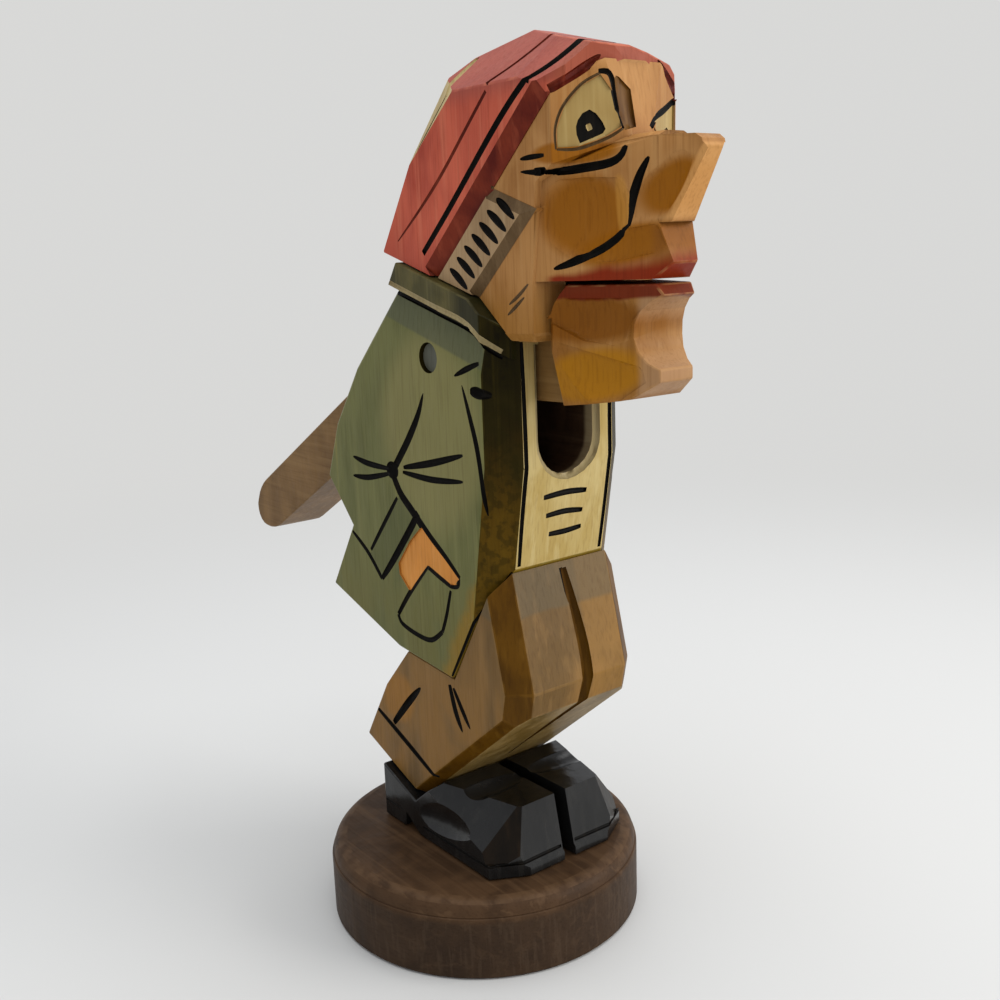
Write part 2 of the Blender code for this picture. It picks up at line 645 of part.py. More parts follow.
def make_head(figure):
    """Cap, sideburns, face, muzzle and nose, carved from one block that stands on the neck."""
    mesh = union([cap_mesh(), sideburn_mesh(), face_mesh(), muzzle_mesh(), nose_mesh()])
    head = part("head", mesh, material("face_ochre", (0.480, 0.240, 0.070), 0.38), figure)

    lift = Vector((0.0, SEAT_DROP))
    far_back = CAP_BACK_LOW[0] + NECK_POINT.x + OVERCUT
    low = CHEST_POINT.y - JOWL_DEPTH
    front = CHEST_POINT.x - GLUE_GAP
    outline = [
        (front, height_on(BREAK_POINT, CHEST_POINT, front) + lift.y),
        (front, low),
        (far_back, low),
        (far_back, height_on(BREAK_POINT, NECK_POINT, far_back) + lift.y),
        BREAK_POINT + lift,
    ]
    cut(head, cutter("neck_seat", slab(outline, 2 * CAP_HALF_WIDTH), figure))

    mouth_front = JOWL_FACE - OVERCUT
    mouth = [(mouth_front, PALATE + NUT_GROOVE), (mouth_front, low), (far_back, low)]
    mouth += [(far_back, PALATE + NUT_GROOVE)]
    cut(head, cutter("mouth_slot", slab(mouth, SLOT_WIDTH / 2), figure))
    return head


def hollow(start, end, depth, steps):
    """Points of a scooped edge: a circular arc from start to end, sunk by a depth to its left."""
    chord = end - start
    radius = (chord.length_squared / 4 + depth * depth) / (2 * depth)
    inward = Vector((-chord.y, chord.x)).normalized()
    centre = start + chord / 2 + inward * (depth - radius)
    first = start - centre
    spread = 2 * math.asin(min(1.0, chord.length / (2 * radius)))
    points = []
    for step in range(steps + 1):
        angle = -spread * step / steps
        turn = Matrix.Rotation(angle, 2)
        points.append(centre + turn @ first)
    return points


def jaw_mesh():
    """The lower jaw, from the pivot: a lip, a scooped front, a chin, and sides that taper all ways."""
    top = PALATE_HEIGHT - MOUTH_GAP
    bottom = top - JAW_DEPTH
    back = JOWL_FACE - JAW_CLEARANCE - PIVOT_POINT.x
    lip = Vector(JAW_LIP_FRONT)
    chin = Vector(JAW_CHIN_TOP)
    outline = [Vector((lip.x + JAW_LIP_SETBACK, top))]
    outline += hollow(lip, chin, JAW_HOLLOW_DEPTH, HOLLOW_STEPS)
    outline += [Vector(JAW_CHIN_FRONT), Vector((JAW_CHIN_FOOT, bottom + JAW_FOOT_RISE))]
    outline += [Vector((back, bottom)), Vector((back, top))]
    mesh = slab(outline, JAW_BACK_HALF_WIDTH)
    narrowing = JAW_BACK_HALF_WIDTH - JAW_FRONT_HALF_WIDTH
    shaved_pair(mesh, (JAW_FRONT_HALF_WIDTH, lip.x, 0.0), (back - lip.x, -narrowing, 0.0))
    undercut = JAW_BACK_HALF_WIDTH - JAW_FOOT_HALF_WIDTH
    fall = JAW_DEPTH - JAW_CHEEK_HEIGHT
    return shaved_pair(mesh, (JAW_FOOT_HALF_WIDTH, 0.0, bottom), (fall, 0.0, -undercut))


def arm_mesh():
    """The lever's arm, from the pivot: through the slot, then down behind as a round-ended handle."""
    top = PALATE_HEIGHT - MOUTH_GAP - ARM_STEP
    bottom = PALATE_HEIGHT - MOUTH_GAP - JAW_DEPTH + ARM_STEP
    front = JOWL_FACE - JAW_CLEARANCE - PIVOT_POINT.x - OVERCUT / 2
    shoulder = Vector(ARM_SHOULDER)
    along = Vector((math.cos(HANDLE_SLOPE), -math.sin(HANDLE_SLOPE)))
    down = Vector((-math.sin(HANDLE_SLOPE), -math.cos(HANDLE_SLOPE)))
    half_depth = HANDLE_DEPTH / 2
    end = arc(Vector((0.0, 0.0)), HANDLE_ROUNDING, half_depth, -math.pi / 2, math.pi / 2, HANDLE_STEPS)
    middle = shoulder + along * (HANDLE_LENGTH - HANDLE_ROUNDING) + down * half_depth
    outline = [Vector((front, top)), Vector((front, bottom)), Vector(ARM_UNDER_FRONT)]
    outline += [shoulder + along * HANDLE_UNDER_START + down * HANDLE_DEPTH]
    outline += [middle + along * point.x - down * point.y for point in end]
    outline += [shoulder, Vector(ARM_TOP), Vector((ARM_CREST_BACK, top))]
    return slab(outline, SLOT_WIDTH / 2 - LEVER_SIDE_CLEARANCE)


def make_lever(figure, jacket):
    """The jaw and its lever in one piece, on a dowel through the shoulders."""
    axis = (0.0, PIVOT_POINT.x, PIVOT_POINT.y)
    mesh = union([jaw_mesh(), arm_mesh()])
    lever = part("jaw_lever", mesh, material("lever_brown", (0.300, 0.150, 0.070), 0.42), figure, axis)
    radius = PIVOT_DIAMETER / 2
    bore_length = 2 * (JACKET_HALF_WIDTH + OVERCUT)
    loose = rod(radius + PIVOT_CLEARANCE, bore_length, axis="X")
    cut(lever, cutter("lever_bore", loose, figure, axis))
    tight = rod(radius + GLUE_GAP, bore_length, axis="X")
    cut(jacket, cutter("shoulder_bore", tight, figure, axis))
    length = 2 * (JACKET_HALF_WIDTH - PIVOT_RECESS)
    grey = material("pivot_grey", (0.085, 0.090, 0.075), 0.50)
    smooth(part("pivot_dowel", rod(radius, length, axis="X"), grey, figure, axis))


def make_dowels(figure, name, place, depth, blocks):
    """A pair of glued dowels, left and right, across the joint of the blocks."""
    beech = material(name + "_beech", (0.520, 0.370, 0.210), 0.60)
    for side, word in ((-1, "right"), (1, "left")):
        middle = (side * DOWEL_SPREAD, place.x, place.y)
        peg = rod(DOWEL_DIAMETER / 2, 2 * depth)
        smooth(part(f"{name}_dowel_{word}", peg, beech.copy(), figure, middle))
        bore = rod(DOWEL_DIAMETER / 2 + GLUE_GAP, 2 * (depth + GLUE_GAP))
        hole = cutter(f"{name}_hole_{word}", bore, figure, middle)
        for block in blocks(word):
            cut(block, hole)


def main():
    """Build the nutcracker."""
    figure = bpy.data.objects.new("figure", None)
    figure.location = (FIGURE_OFFSET, 0.0, BASE_HEIGHT)
    PARTS.objects.link(figure)
    base = make_base()
    shoes = make_shoes(figure, base)
    trousers = make_trousers(figure)
    jacket = make_jacket(figure)
    cut_slot(figure, jacket)
    head = make_head(figure)
    make_lever(figure, jacket)

    ankle_back = ANKLE.x + ANKLE_DOWEL_BACK
    ankle = Vector((ankle_back, height_on(ANKLE, ANKLE + Vector(CUFF_BACK), ankle_back)))
    make_dowels(figure, "ankle", ankle, ANKLE_DOWEL_DEPTH, lambda word: (shoes[word], trousers))
    waist_back = HIP_POINT.x + WAIST_DOWEL_BACK
    waist = Vector((waist_back, height_on(HIP_POINT, HIP_POINT + Vector(HEM_MIDDLE), waist_back)))
    make_dowels(figure, "waist", waist, DOWEL_DEPTH, lambda word: (trousers, jacket))
    neck_back = NECK_POINT.x + NECK_DOWEL_BACK
    neck = Vector((neck_back, height_on(BREAK_POINT, NECK_POINT, neck_back)))
    make_dowels(figure, "neck", neck, DOWEL_DEPTH, lambda word: (jacket, head))


main()
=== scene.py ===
# %% [markdown]
# # A carved and stained wooden nutcracker
#
# The real object is limewood, sawn to an outline, carved with a knife and a few gouges, stained with
# thin colour and varnished. So the model is dressed the way the carver worked. Each block of the solid
# model is copied, its long edges are rubbed soft, hollows are scooped out, and grooves are cut into it.
# Each cut brings its own paint, so paint lines lie exactly in the grooves, as on the real figure.

# %% Load the solid model
import math

import bmesh
import bpy
from mathutils import Matrix, Vector
from mathutils.bvhtree import BVHTree


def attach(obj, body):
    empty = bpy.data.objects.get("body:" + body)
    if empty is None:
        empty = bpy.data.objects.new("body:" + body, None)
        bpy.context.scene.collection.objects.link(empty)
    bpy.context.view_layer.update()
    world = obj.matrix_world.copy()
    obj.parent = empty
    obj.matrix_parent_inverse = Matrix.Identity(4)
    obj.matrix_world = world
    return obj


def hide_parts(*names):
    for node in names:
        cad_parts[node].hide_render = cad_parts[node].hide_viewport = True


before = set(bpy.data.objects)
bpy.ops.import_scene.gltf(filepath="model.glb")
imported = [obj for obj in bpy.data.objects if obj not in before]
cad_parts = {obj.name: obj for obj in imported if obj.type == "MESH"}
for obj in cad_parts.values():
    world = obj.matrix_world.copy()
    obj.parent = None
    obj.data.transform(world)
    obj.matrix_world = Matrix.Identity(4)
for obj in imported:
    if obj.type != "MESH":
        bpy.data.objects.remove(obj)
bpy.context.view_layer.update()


def placed(name, data):
    """A new object in the scene, from a mesh, a lamp or a lens."""
    item = bpy.data.objects.new(name, data)
    bpy.context.scene.collection.objects.link(item)
    return item


# %% [markdown]
# ## The camera
#
# The photo was taken from a little above, ahead of the figure's right shoulder. The camera's place, heading,
# pitch and roll were worked out from the round base, whose true shape is known, and from the upright edges.

# %% Place the camera
CAMERA_PLACE = Vector((-0.1954, -0.2661, 0.2007))
CAMERA_HEADING = math.radians(37.79)
CAMERA_PITCH = math.radians(12.75)
CAMERA_ROLL = math.radians(2.05)
CAMERA_LENS = 41.4

ahead = Vector((math.sin(CAMERA_HEADING), math.cos(CAMERA_HEADING), 0.0)) * math.cos(CAMERA_PITCH)
ahead.z = -math.sin(CAMERA_PITCH)
level = Vector((math.cos(CAMERA_HEADING), -math.sin(CAMERA_HEADING), 0.0))
upright = level.cross(ahead)
across = level * math.cos(CAMERA_ROLL) - upright * math.sin(CAMERA_ROLL)
up = upright * math.cos(CAMERA_ROLL) + level * math.sin(CAMERA_ROLL)
lens = bpy.data.cameras.new("photo_camera")
lens.lens = CAMERA_LENS
lens.sensor_width = 36.0
lens.clip_start = 0.01
camera = placed("photo_camera", lens)
camera.matrix_world = Matrix.Translation(CAMERA_PLACE) @ Matrix((across, up, -ahead)).transposed().to_4x4()
bpy.context.scene.camera = camera
print("camera looks along", [round(part, 3) for part in ahead])

# %% [markdown]
# ## Shader sums as plain expressions
#
# A finish is a sum of layers: stain, grain, brush marks, rubbed edges. Wiring every Math node by hand hides
# that sum. Here a small class stands for a socket, and adding or multiplying two of them adds the Math node.

# %% A socket that can be calculated with
def both_ways(operation):
    """One sum as two methods: with the socket first, and with the socket second."""
    return (
        lambda self, other: self.finish.node("ShaderNodeMath", {"operation": operation}, {0: self, 1: other}),
        lambda self, other: self.finish.node("ShaderNodeMath", {"operation": operation}, {0: other, 1: self}),
    )


class Level:
    """One number that changes over a surface."""

    def __init__(self, finish, socket):
        self.finish = finish
        self.socket = socket

    __add__, __radd__ = both_ways("ADD")
    __sub__, __rsub__ = both_ways("SUBTRACT")
    __mul__, __rmul__ = both_ways("MULTIPLY")
    __truediv__, __rtruediv__ = both_ways("DIVIDE")


# %% A finish, and the one way to add a node to it
class Finish:
    """A material that is put together from layers."""

    def __init__(self, name):
        self.material = bpy.data.materials.new(name)
        self.material.use_nodes = True
        self.tree = self.material.node_tree
        self.shader = self.tree.nodes["Principled BSDF"]
        self.object = self.node("ShaderNodeTexCoord", {}, {}, "Object")

    def node(self, kind, settings, inputs, output=0):
        made = self.tree.nodes.new(kind)
        for name, value in settings.items():
            setattr(made, name, value)
        for name, value in inputs.items():
            self.feed(made.inputs[name], value)
        return Level(self, made.outputs[output])

    def feed(self, socket, value):
        if isinstance(value, Level):
            self.tree.links.new(value.socket, socket)
        else:
            socket.default_value = value

    def noise(self, scale, detail=2.0, stretch=(1.0, 1.0, 1.0), turn=(0.0, 0.0, 0.0), warp=0.0):
        place = self.node("ShaderNodeMapping", {}, {"Vector": self.object, "Rotation": turn, "Scale": stretch})
        sizes = {"Vector": place, "Scale": scale, "Detail": detail, "Distortion": warp}
        return self.node("ShaderNodeTexNoise", {}, sizes)

    def between(self, value, low, high):
        """0 below low, 1 above high, and a smooth step from one to the other."""
        limits = {"Value": value, "From Min": low, "From Max": high}
        return self.node("ShaderNodeMapRange", {"interpolation_type": "SMOOTHSTEP"}, limits)

    def mix(self, share, first, second):
        colours = {0: share, 6: first, 7: second}
        return self.node("ShaderNodeMix", {"data_type": "RGBA"}, colours, 2)

    def shade(self, share, colour, tone):
        """Darken a colour by multiplying it with a tone."""
        colours = {0: share, 6: colour, 7: tone}
        return self.node("ShaderNodeMix", {"data_type": "RGBA", "blend_type": "MULTIPLY"}, colours, 2)

    def axes(self):
        """The place on the piece, as three numbers in metres."""
        split = self.tree.nodes.new("ShaderNodeSeparateXYZ")
        self.feed(split.inputs[0], self.object)
        return [Level(self, socket) for socket in split.outputs]


BASE_TOP = 23.2


def oval(finish, first, second, middle, radii, turn=0.0):
    """1 in the middle of an oval, fading to 0 at its rim, drawn in millimetres above the base's top."""
    right = first * 1000.0 - middle[0]
    rise = second * 1000.0 - middle[1] - BASE_TOP
    cosine, sine = math.cos(turn), math.sin(turn)
    along = (right * cosine + rise * sine) / radii[0]
    aside = (rise * cosine - right * sine) / radii[1]
    return 1.0 - finish.between(along * along + aside * aside, 0.45, 1.15)


def paint(red, green, blue):
    return (red, green, blue, 1.0)


# %% [markdown]
# ## Stained wood
#
# The stain is thin, so the wood shows through it: fine fibres along the block, and cloudy patches where the
# brush left more or less colour. Corners and recesses are painted darker as painted shade, and edges that hands
# rub are pale again. The varnish is satin, with a slightly uneven surface that breaks up the highlights.

# %% The layers of stained wood
FIBRE = 1500.0
CLOUD = 75.0
RIPPLE = 170.0
ALONG_Z = (1.0, 1.0, 0.035)
ALONG_Y = (1.0, 0.035, 1.0)


def stained(name, deep, main, pale, grain=ALONG_Z, turn=(0.0, 0.0, 0.0), gloss=0.42, shine=0.13, rub=0.4, tint=None,
            patch=CLOUD, grainy=0.38):
    """A stained and varnished wood, from its deepest to its palest colour; tint may add painted areas."""
    finish = Finish(name)
    fibre = finish.noise(FIBRE, 4.0, grain, turn)
    streak = finish.noise(FIBRE * 0.28, 3.0, grain, turn, 0.4)
    cloud = finish.noise(patch, 3.0, (1.0, 1.0, 0.6), turn, 0.6)
    fine = finish.noise(CLOUD * 9, 2.0)
    colour = finish.mix(finish.between(cloud, 0.30, 0.66), deep, main)
    colour = finish.mix(finish.between(streak, 0.50, 0.72) * 0.42, colour, pale)
    if tint:
        colour = tint(finish, colour, cloud)
    colour = finish.shade(finish.between(fibre, 0.48, 0.68) * grainy, colour, paint(0.64, 0.58, 0.50))
    # Painted shade: the colour is darkened in corners and recesses, by how enclosed each spot is.
    shade = finish.node(
        "ShaderNodeAmbientOcclusion", {"samples": 8, "only_local": True}, {"Distance": 0.004}, "AO"
    )
    colour = finish.shade((1.0 - finish.between(shade, 0.35, 0.85)) * 0.65, colour, paint(0.36, 0.30, 0.24))
    edge = finish.node("ShaderNodeAttribute", {"attribute_name": "rubbed"}, {}, "Fac")
    worn = edge * finish.between(finish.noise(CLOUD * 3, 3.0), 0.38, 0.62) * rub
    colour = finish.mix(worn, colour, pale)
    shader = finish.shader.inputs
    finish.feed(shader["Base Color"], colour)
    finish.feed(shader["Roughness"], gloss + (fibre - 0.5) * 0.10 + (fine - 0.5) * 0.10)
    shader["Specular IOR Level"].default_value = shine
    relief = finish.noise(RIPPLE, 2.0, (1.0, 1.0, 0.5), turn) * 0.6 + fibre * 0.06 + streak * 0.05
    bump = {"Height": relief, "Strength": 0.35, "Distance": 0.0011}
    finish.feed(shader["Normal"], finish.node("ShaderNodeBump", {}, bump))
    return finish.material


# %% The colours of the figure
BLACK = stained("groove_black", paint(0.002, 0.0015, 0.001), paint(0.005, 0.004, 0.003), paint(0.014, 0.010, 0.006),
                gloss=0.55, shine=0.08)
BROWN_LINE = stained("line_brown", paint(0.090, 0.050, 0.018), paint(0.150, 0.090, 0.040),
                     paint(0.210, 0.130, 0.060), gloss=0.48)
CREAM = stained("cream", paint(0.400, 0.290, 0.110), paint(0.560, 0.430, 0.190), paint(0.640, 0.520, 0.270),
                gloss=0.45, rub=0.2)
HAND = stained("hand_orange", paint(0.560, 0.215, 0.034), paint(0.660, 0.262, 0.046), paint(0.700, 0.320, 0.080))
print("first finishes:", [made.name for made in (BLACK, BROWN_LINE, CREAM, HAND)])

# %% [markdown]
# ## From the solid to a carving
#
# A solid's mesh is a bag of loose triangles. The copy is welded, and its flat areas are joined to single
# faces. Then the outer edges that a hand would meet get a narrow rounding, and the faces made by it carry an
# attribute, so that the finish can show the stain rubbed thin there.

# %% Copy a solid and rub its edges soft
MM = 0.001
FIGURE = Vector((5.0, 0.0, BASE_TOP)) * MM
WELD = 1e-6
FLAT = math.radians(0.6)
ARRIS = math.radians(14)
RUB = 0.45 * MM
LONG_EDGE = 5 * RUB
PIECES = {}


def at(x, y, z):
    """A place on the figure, in millimetres from the middle of the base's top, as a place in the frame."""
    return FIGURE + Vector((x, y, z)) * MM


def spot(place):
    """The same, the other way round."""
    return (place - FIGURE) / MM


def opened(mesh):
    """A mesh, opened to work on its faces."""
    work = bmesh.new()
    work.from_mesh(mesh)
    return work


def closed(work, mesh):
    """The work, put into a mesh."""
    work.to_mesh(mesh)
    work.free()
    return mesh


def copied(node, name):
    """A copy of a solid as one clean mesh."""
    work = opened(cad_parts[node].data)
    bmesh.ops.remove_doubles(work, verts=work.verts, dist=WELD)
    bmesh.ops.dissolve_limit(work, angle_limit=FLAT, verts=work.verts, edges=work.edges)
    work.faces.layers.float.new("rubbed")
    mesh = closed(work, bpy.data.meshes.new(name))
    mesh.materials.clear()
    print(name, "copied from", node, "with", len(mesh.polygons), "faces")
    return placed(name, mesh)


def rub_soft(piece, leave=None):
    """Round the long outer edges, apart from those to leave, and mark the faces that this makes."""
    work = opened(piece.data)
    rubbed = work.faces.layers.float["rubbed"]
    clear = {vert: min(edge.calc_length() for edge in vert.link_edges) > LONG_EDGE for vert in work.verts}
    outer = [edge for edge in work.edges if edge.is_convex and all(clear[vert] for vert in edge.verts)]
    sharp = [edge for edge in outer if edge.calc_face_angle() > ARRIS]
    if leave:
        sharp = [edge for edge in sharp if not any(leave(spot(vert.co)) for vert in edge.verts)]
    made = bmesh.ops.bevel(
        work, geom=sharp, offset=RUB, offset_type="OFFSET", segments=2, profile=0.5, affect="EDGES", material=-1
    )
    for face in made["faces"]:
        face[rubbed] = 1.0
    closed(work, piece.data)
    print(piece.name, "has", len(sharp), "soft edges")


# %% [markdown]
# ## Gouge cuts that follow the surface
#
# The carver drew a line on the block and pushed a gouge along it. So does this: a line is drawn in a plain
# view (from the side, the front or the top), thrown onto the block, and swept with a round section that is
# thin at both ends. The sweep is a Geometry Nodes tree, because every cut on the figure is made the same way.

# %% The tree that sweeps a gouge along drawn lines
GOUGE_SIDES = 8


def gouge_tree():
    tree = bpy.data.node_groups.new("gouge_cuts", "GeometryNodeTree")
    tree.interface.new_socket("Lines", in_out="INPUT", socket_type="NodeSocketGeometry")
    tree.interface.new_socket("Paint", in_out="INPUT", socket_type="NodeSocketMaterial")
    tree.interface.new_socket("Cuts", in_out="OUTPUT", socket_type="NodeSocketGeometry")
    kinds = {
        "lines": "NodeGroupInput", "curve": "GeometryNodeMeshToCurve", "radius": "GeometryNodeInputNamedAttribute",
        "section": "GeometryNodeCurvePrimitiveCircle", "size": "GeometryNodeSetCurveRadius",
        "sweep": "GeometryNodeCurveToMesh", "real": "GeometryNodeRealizeInstances",
        "paint": "GeometryNodeSetMaterial", "cuts": "NodeGroupOutput",
    }
    nodes = {name: tree.nodes.new(kind) for name, kind in kinds.items()}
    nodes["radius"].inputs["Name"].default_value = "radius"
    nodes["section"].inputs["Resolution"].default_value = GOUGE_SIDES
    nodes["section"].inputs["Radius"].default_value = 1.0
    nodes["sweep"].inputs["Fill Caps"].default_value = True
    wires = [
        ("lines", "Lines", "curve", "Mesh"), ("curve", "Curve", "size", "Curve"),
        ("radius", "Attribute", "size", "Radius"), ("size", "Curve", "sweep", "Curve"),
        ("section", "Curve", "sweep", "Profile Curve"), ("sweep", "Mesh", "real", "Geometry"),
        ("real", "Geometry", "paint", "Geometry"), ("lines", "Paint", "paint", "Material"),
        ("paint", "Geometry", "cuts", "Cuts"),
    ]
    for start, output, end, socket in wires:
        tree.links.new(nodes[start].outputs[output], nodes[end].inputs[socket])
    if "Scale" in nodes["sweep"].inputs:
        tree.links.new(nodes["radius"].outputs["Attribute"], nodes["sweep"].inputs["Scale"])
    return tree


GOUGE = gouge_tree()
GOUGE_PAINT = next(item.identifier for item in GOUGE.interface.items_tree if item.name == "Paint")
print("gouge tree:", len(GOUGE.nodes), "nodes")

# %% Draw a line in a view and throw it onto the block
SIDE, FRONT, BACK, TOP = "side", "front", "back", "top"
FAR = 300.0


def thrown(tree, point, view, side):
    """Where a drawn point lands on the block: (y, z) from the side, (x, z) from front or back, (x, y) from above."""
    first, second = point
    if view == SIDE:
        start, aim = at(side * FAR, first, second), Vector((-side, 0.0, 0.0))
    elif view == FRONT:
        start, aim = at(side * first, -FAR, second), Vector((0.0, 1.0, 0.0))
    elif view == BACK:
        start, aim = at(side * first, FAR, second), Vector((0.0, -1.0, 0.0))
    else:
        start, aim = at(side * first, second, 2 * FAR), Vector((0.0, 0.0, -1.0))
    place, normal, _, _ = tree.ray_cast(start, aim)
    return place, normal


def eased(points, steps):
    """A smooth line through the points, as evenly numbered steps."""
    ends = [points[0]] + list(points) + [points[-1]]
    line = []
    for step in range(steps + 1):
        where = step / steps * (len(points) - 1)
        index = min(int(where), len(points) - 2)
        t = where - index
        a, b, c, d = (Vector(point) for point in ends[index:index + 4])
        line.append(b + (c - a) * t / 2 + (2 * a - 5 * b + 4 * c - d) * t**2 / 2 + (3 * b - a - 3 * c + d) * t**3 / 2)
    return line


def swell(share, ends):
    """The width of a cut along its way: full in the middle, a given share of it at each end."""
    low = ends[0] if share < 0.5 else ends[1]
    return low + (1.0 - low) * math.sin(math.pi * share) ** 0.7


# %% Cut drawn lines into a block
STEPS = 16
FINEST = 0.06


def cut_lines(piece, view, lines, colour, sides=(-1, 1), sink=0.0):
    """Each line is its points, its width in millimetres, and the share of the width left at its two ends."""
    tree = BVHTree.FromObject(piece, bpy.context.evaluated_depsgraph_get())
    for side in sides:
        for points, width, ends in lines:
            places, radii = [], []
            for index, point in enumerate(eased(points, STEPS)):
                place, normal = thrown(tree, point, view, side)
                if place is not None:
                    radii.append(max(width / 2 * swell(index / STEPS, ends), FINEST) * MM)
                    places.append(place - normal * sink * radii[-1])
            carved(piece, swept(places, radii, colour))


def swept(places, radii, colour):
    """The gouge's path through the wood, as a tool."""
    drawn = bpy.data.meshes.new("drawn_line")
    drawn.from_pydata(places, [(index, index + 1) for index in range(len(places) - 1)], [])
    drawn.attributes.new("radius", "FLOAT", "POINT").data.foreach_set("value", radii)
    tool = placed("drawn_line", drawn)
    sweep = tool.modifiers.new("gouge", "NODES")
    sweep.node_group = GOUGE
    sweep[GOUGE_PAINT] = colour
    return settled(tool)


def settled(item):
    """Turn an object's modifiers into plain mesh, and take them off."""
    bpy.context.view_layer.update()
    mesh = bpy.data.meshes.new_from_object(item.evaluated_get(bpy.context.evaluated_depsgraph_get()))
    item.modifiers.clear()
    item.data = mesh
    return item


# %% [markdown]
# ## Cuts that leave the block whole
#
# A cut that runs exactly along an edge can tear the block open, or take it away altogether. So every cut is
# checked: its faces are there, the block is still closed, and most of its wood is left. If not, the tool is
# moved by a few hundredths of a millimetre, less than a hand would notice, and cuts again. A cut also leaves
# edges too short to see, which the next one would tear open, so those are drawn together.

# %% Take a tool's shape out of a block
LEAST_LEFT, MOST_LEFT = 0.8, 1.001
NUDGES = [(0.0, 0.0, 0.0), (0.03, -0.02, 0.04), (-0.05, 0.03, -0.02), (0.08, 0.06, -0.05), (-0.07, -0.09, 0.06)]


def whole_all_round(work):
    return all(edge.is_manifold for edge in work.edges)


def wood_in(mesh):
    """The volume that a mesh encloses, or nothing if it isn't closed."""
    work = opened(mesh)
    wood = work.calc_volume() if whole_all_round(work) else 0.0
    work.free()
    return wood


def drawn_together(mesh):
    """Join the ends of edges too short to see, if that leaves the block closed."""
    work = opened(mesh)
    bmesh.ops.collapse(work, edges=[edge for edge in work.edges if edge.calc_length() < WELD], uvs=False)
    if whole_all_round(work):
        work.to_mesh(mesh)
        mesh.update()
    work.free()


def carved(piece, tool):
    """Take the tool's shape out of the block; the new faces keep the tool's paint."""
    if "rubbed" not in tool.data.attributes:
        tool.data.attributes.new("rubbed", "FLOAT", "FACE")
    whole, wood = piece.data, wood_in(piece.data)
    for nudge in NUDGES:
        tool.location = Vector(nudge) * MM
        stroke = piece.modifiers.new("carve", "BOOLEAN")
        stroke.operation = "DIFFERENCE"
        stroke.solver = "EXACT"
        stroke.material_mode = "TRANSFER"
        stroke.object = tool
        settled(piece)
        cut = len(piece.data.polygons) != len(whole.polygons)
        if cut and LEAST_LEFT * wood < wood_in(piece.data) < MOST_LEFT * wood:
            drawn_together(piece.data)
            break
        print(piece.name, "cut tried again")
        piece.data = whole
    else:
        print(piece.name, "cut left out")
    bpy.data.objects.remove(tool, do_unlink=True)


# %% [markdown]
# ## Sunk panels and scooped hollows
#
# Some painted areas are sunk by a knife's thickness inside a cut outline: the eyes, the hand. And wide soft
# hollows, on the cheeks and the jaw, come from a big gouge, which leaves part of an ellipsoid.

# %% Make a tool from an outline
def tool_from(mesh, colour):
    """A cutting tool from a mesh: faces turned out, with the paint that it leaves behind."""
    work = opened(mesh)
    bmesh.ops.remove_doubles(work, verts=work.verts, dist=WELD)
    bmesh.ops.recalc_face_normals(work, faces=work.faces)
    closed(work, mesh)
    mesh.materials.append(colour)
    return placed("tool", mesh)


def block_between(near, far, colour):
    """A tool that fills the space between two outlines."""
    count = len(near)
    faces = [tuple(range(count)), tuple(range(2 * count - 1, count - 1, -1))]
    faces += [(i, count + i, count + (i + 1) % count, (i + 1) % count) for i in range(count)]
    mesh = bpy.data.meshes.new("block")
    mesh.from_pydata(near + far, [], faces)
    return tool_from(mesh, colour)


BLOCK_OUTSIDE, BLOCK_FRONT, BLOCK_BACK = 40.0, -110.0, -40.0


def drawn_block(view, outline, side, colour, inside=1.0):
    """A block with a drawn outline, standing through one side (or the front) of the figure."""
    if view == SIDE:
        rows = [[at(side * x, y, z) for y, z in outline] for x in (inside, BLOCK_OUTSIDE)]
    else:
        rows = [[at(side * x, y, z) for x, z in outline] for y in (BLOCK_FRONT, BLOCK_BACK)]
    return block_between(*rows, colour)


# %% Sink a painted panel
def sink_panel(piece, view, outline, depth, colour, sides=(-1, 1), rise=0.8):
    for side in sides:
        tree = BVHTree.FromObject(piece, bpy.context.evaluated_depsgraph_get())
        landed = [thrown(tree, point, view, side) for point in outline]
        out = sum((normal for _, normal in landed), Vector()).normalized()
        top = [place + out * rise * MM for place, _ in landed]
        floor = [place - out * depth * MM for place, _ in landed]
        carved(piece, block_between(top, floor, colour))


# %% Scoop a hollow
LIFT = 2.0
BALL_STEPS, BALL_RINGS = 48, 24


def scoop(piece, view, middle, toward, length, width, depth, colour, sides=(-1, 1), within=None):
    """An oval hollow on the surface at middle, its long way towards another drawn point, kept within an outline."""
    height = depth * LIFT
    reach = height + depth
    spread = 1.0 / math.sqrt(1.0 - (height / reach) ** 2)
    size = Matrix.Diagonal((length / 2 * spread * MM, width / 2 * spread * MM, reach * MM, 1.0))
    for side in sides:
        tree = BVHTree.FromObject(piece, bpy.context.evaluated_depsgraph_get())
        place, out = thrown(tree, middle, view, side)
        end, _ = thrown(tree, toward, view, side)
        along = end - place
        along = (along - out * along.dot(out)).normalized()
        turn = Matrix((along, out.cross(along), out)).transposed().to_4x4()
        lifted = Matrix.Translation(place + out * height * MM)
        work = bmesh.new()
        bmesh.ops.create_uvsphere(work, u_segments=BALL_STEPS, v_segments=BALL_RINGS, radius=1.0)
        bmesh.ops.transform(work, matrix=lifted @ turn @ size, verts=work.verts)
        tool = tool_from(closed(work, bpy.data.meshes.new("scoop")), colour)
        if within:
            keep(tool, drawn_block(view, within, side, colour))
        carved(piece, tool)


def keep(tool, block):
    """Keep only the part of a tool that lies inside the block."""
    part = tool.modifiers.new("keep", "BOOLEAN")
    part.operation = "INTERSECT"
    part.solver = "EXACT"
    part.object = block
    settled(tool)
    bpy.data.objects.remove(block, do_unlink=True)


# %% [markdown]
# ## Flat slices
#
# The rest is knife work: a bevel along an edge of the outline, and single facets sliced off a corner.

# %% Cut a chamfer along an edge
PAST_EDGE, CLEAR_EDGE, CLEAR_FACE, CLEAR_END = 0.05, 0.6, 1.0, 0.4


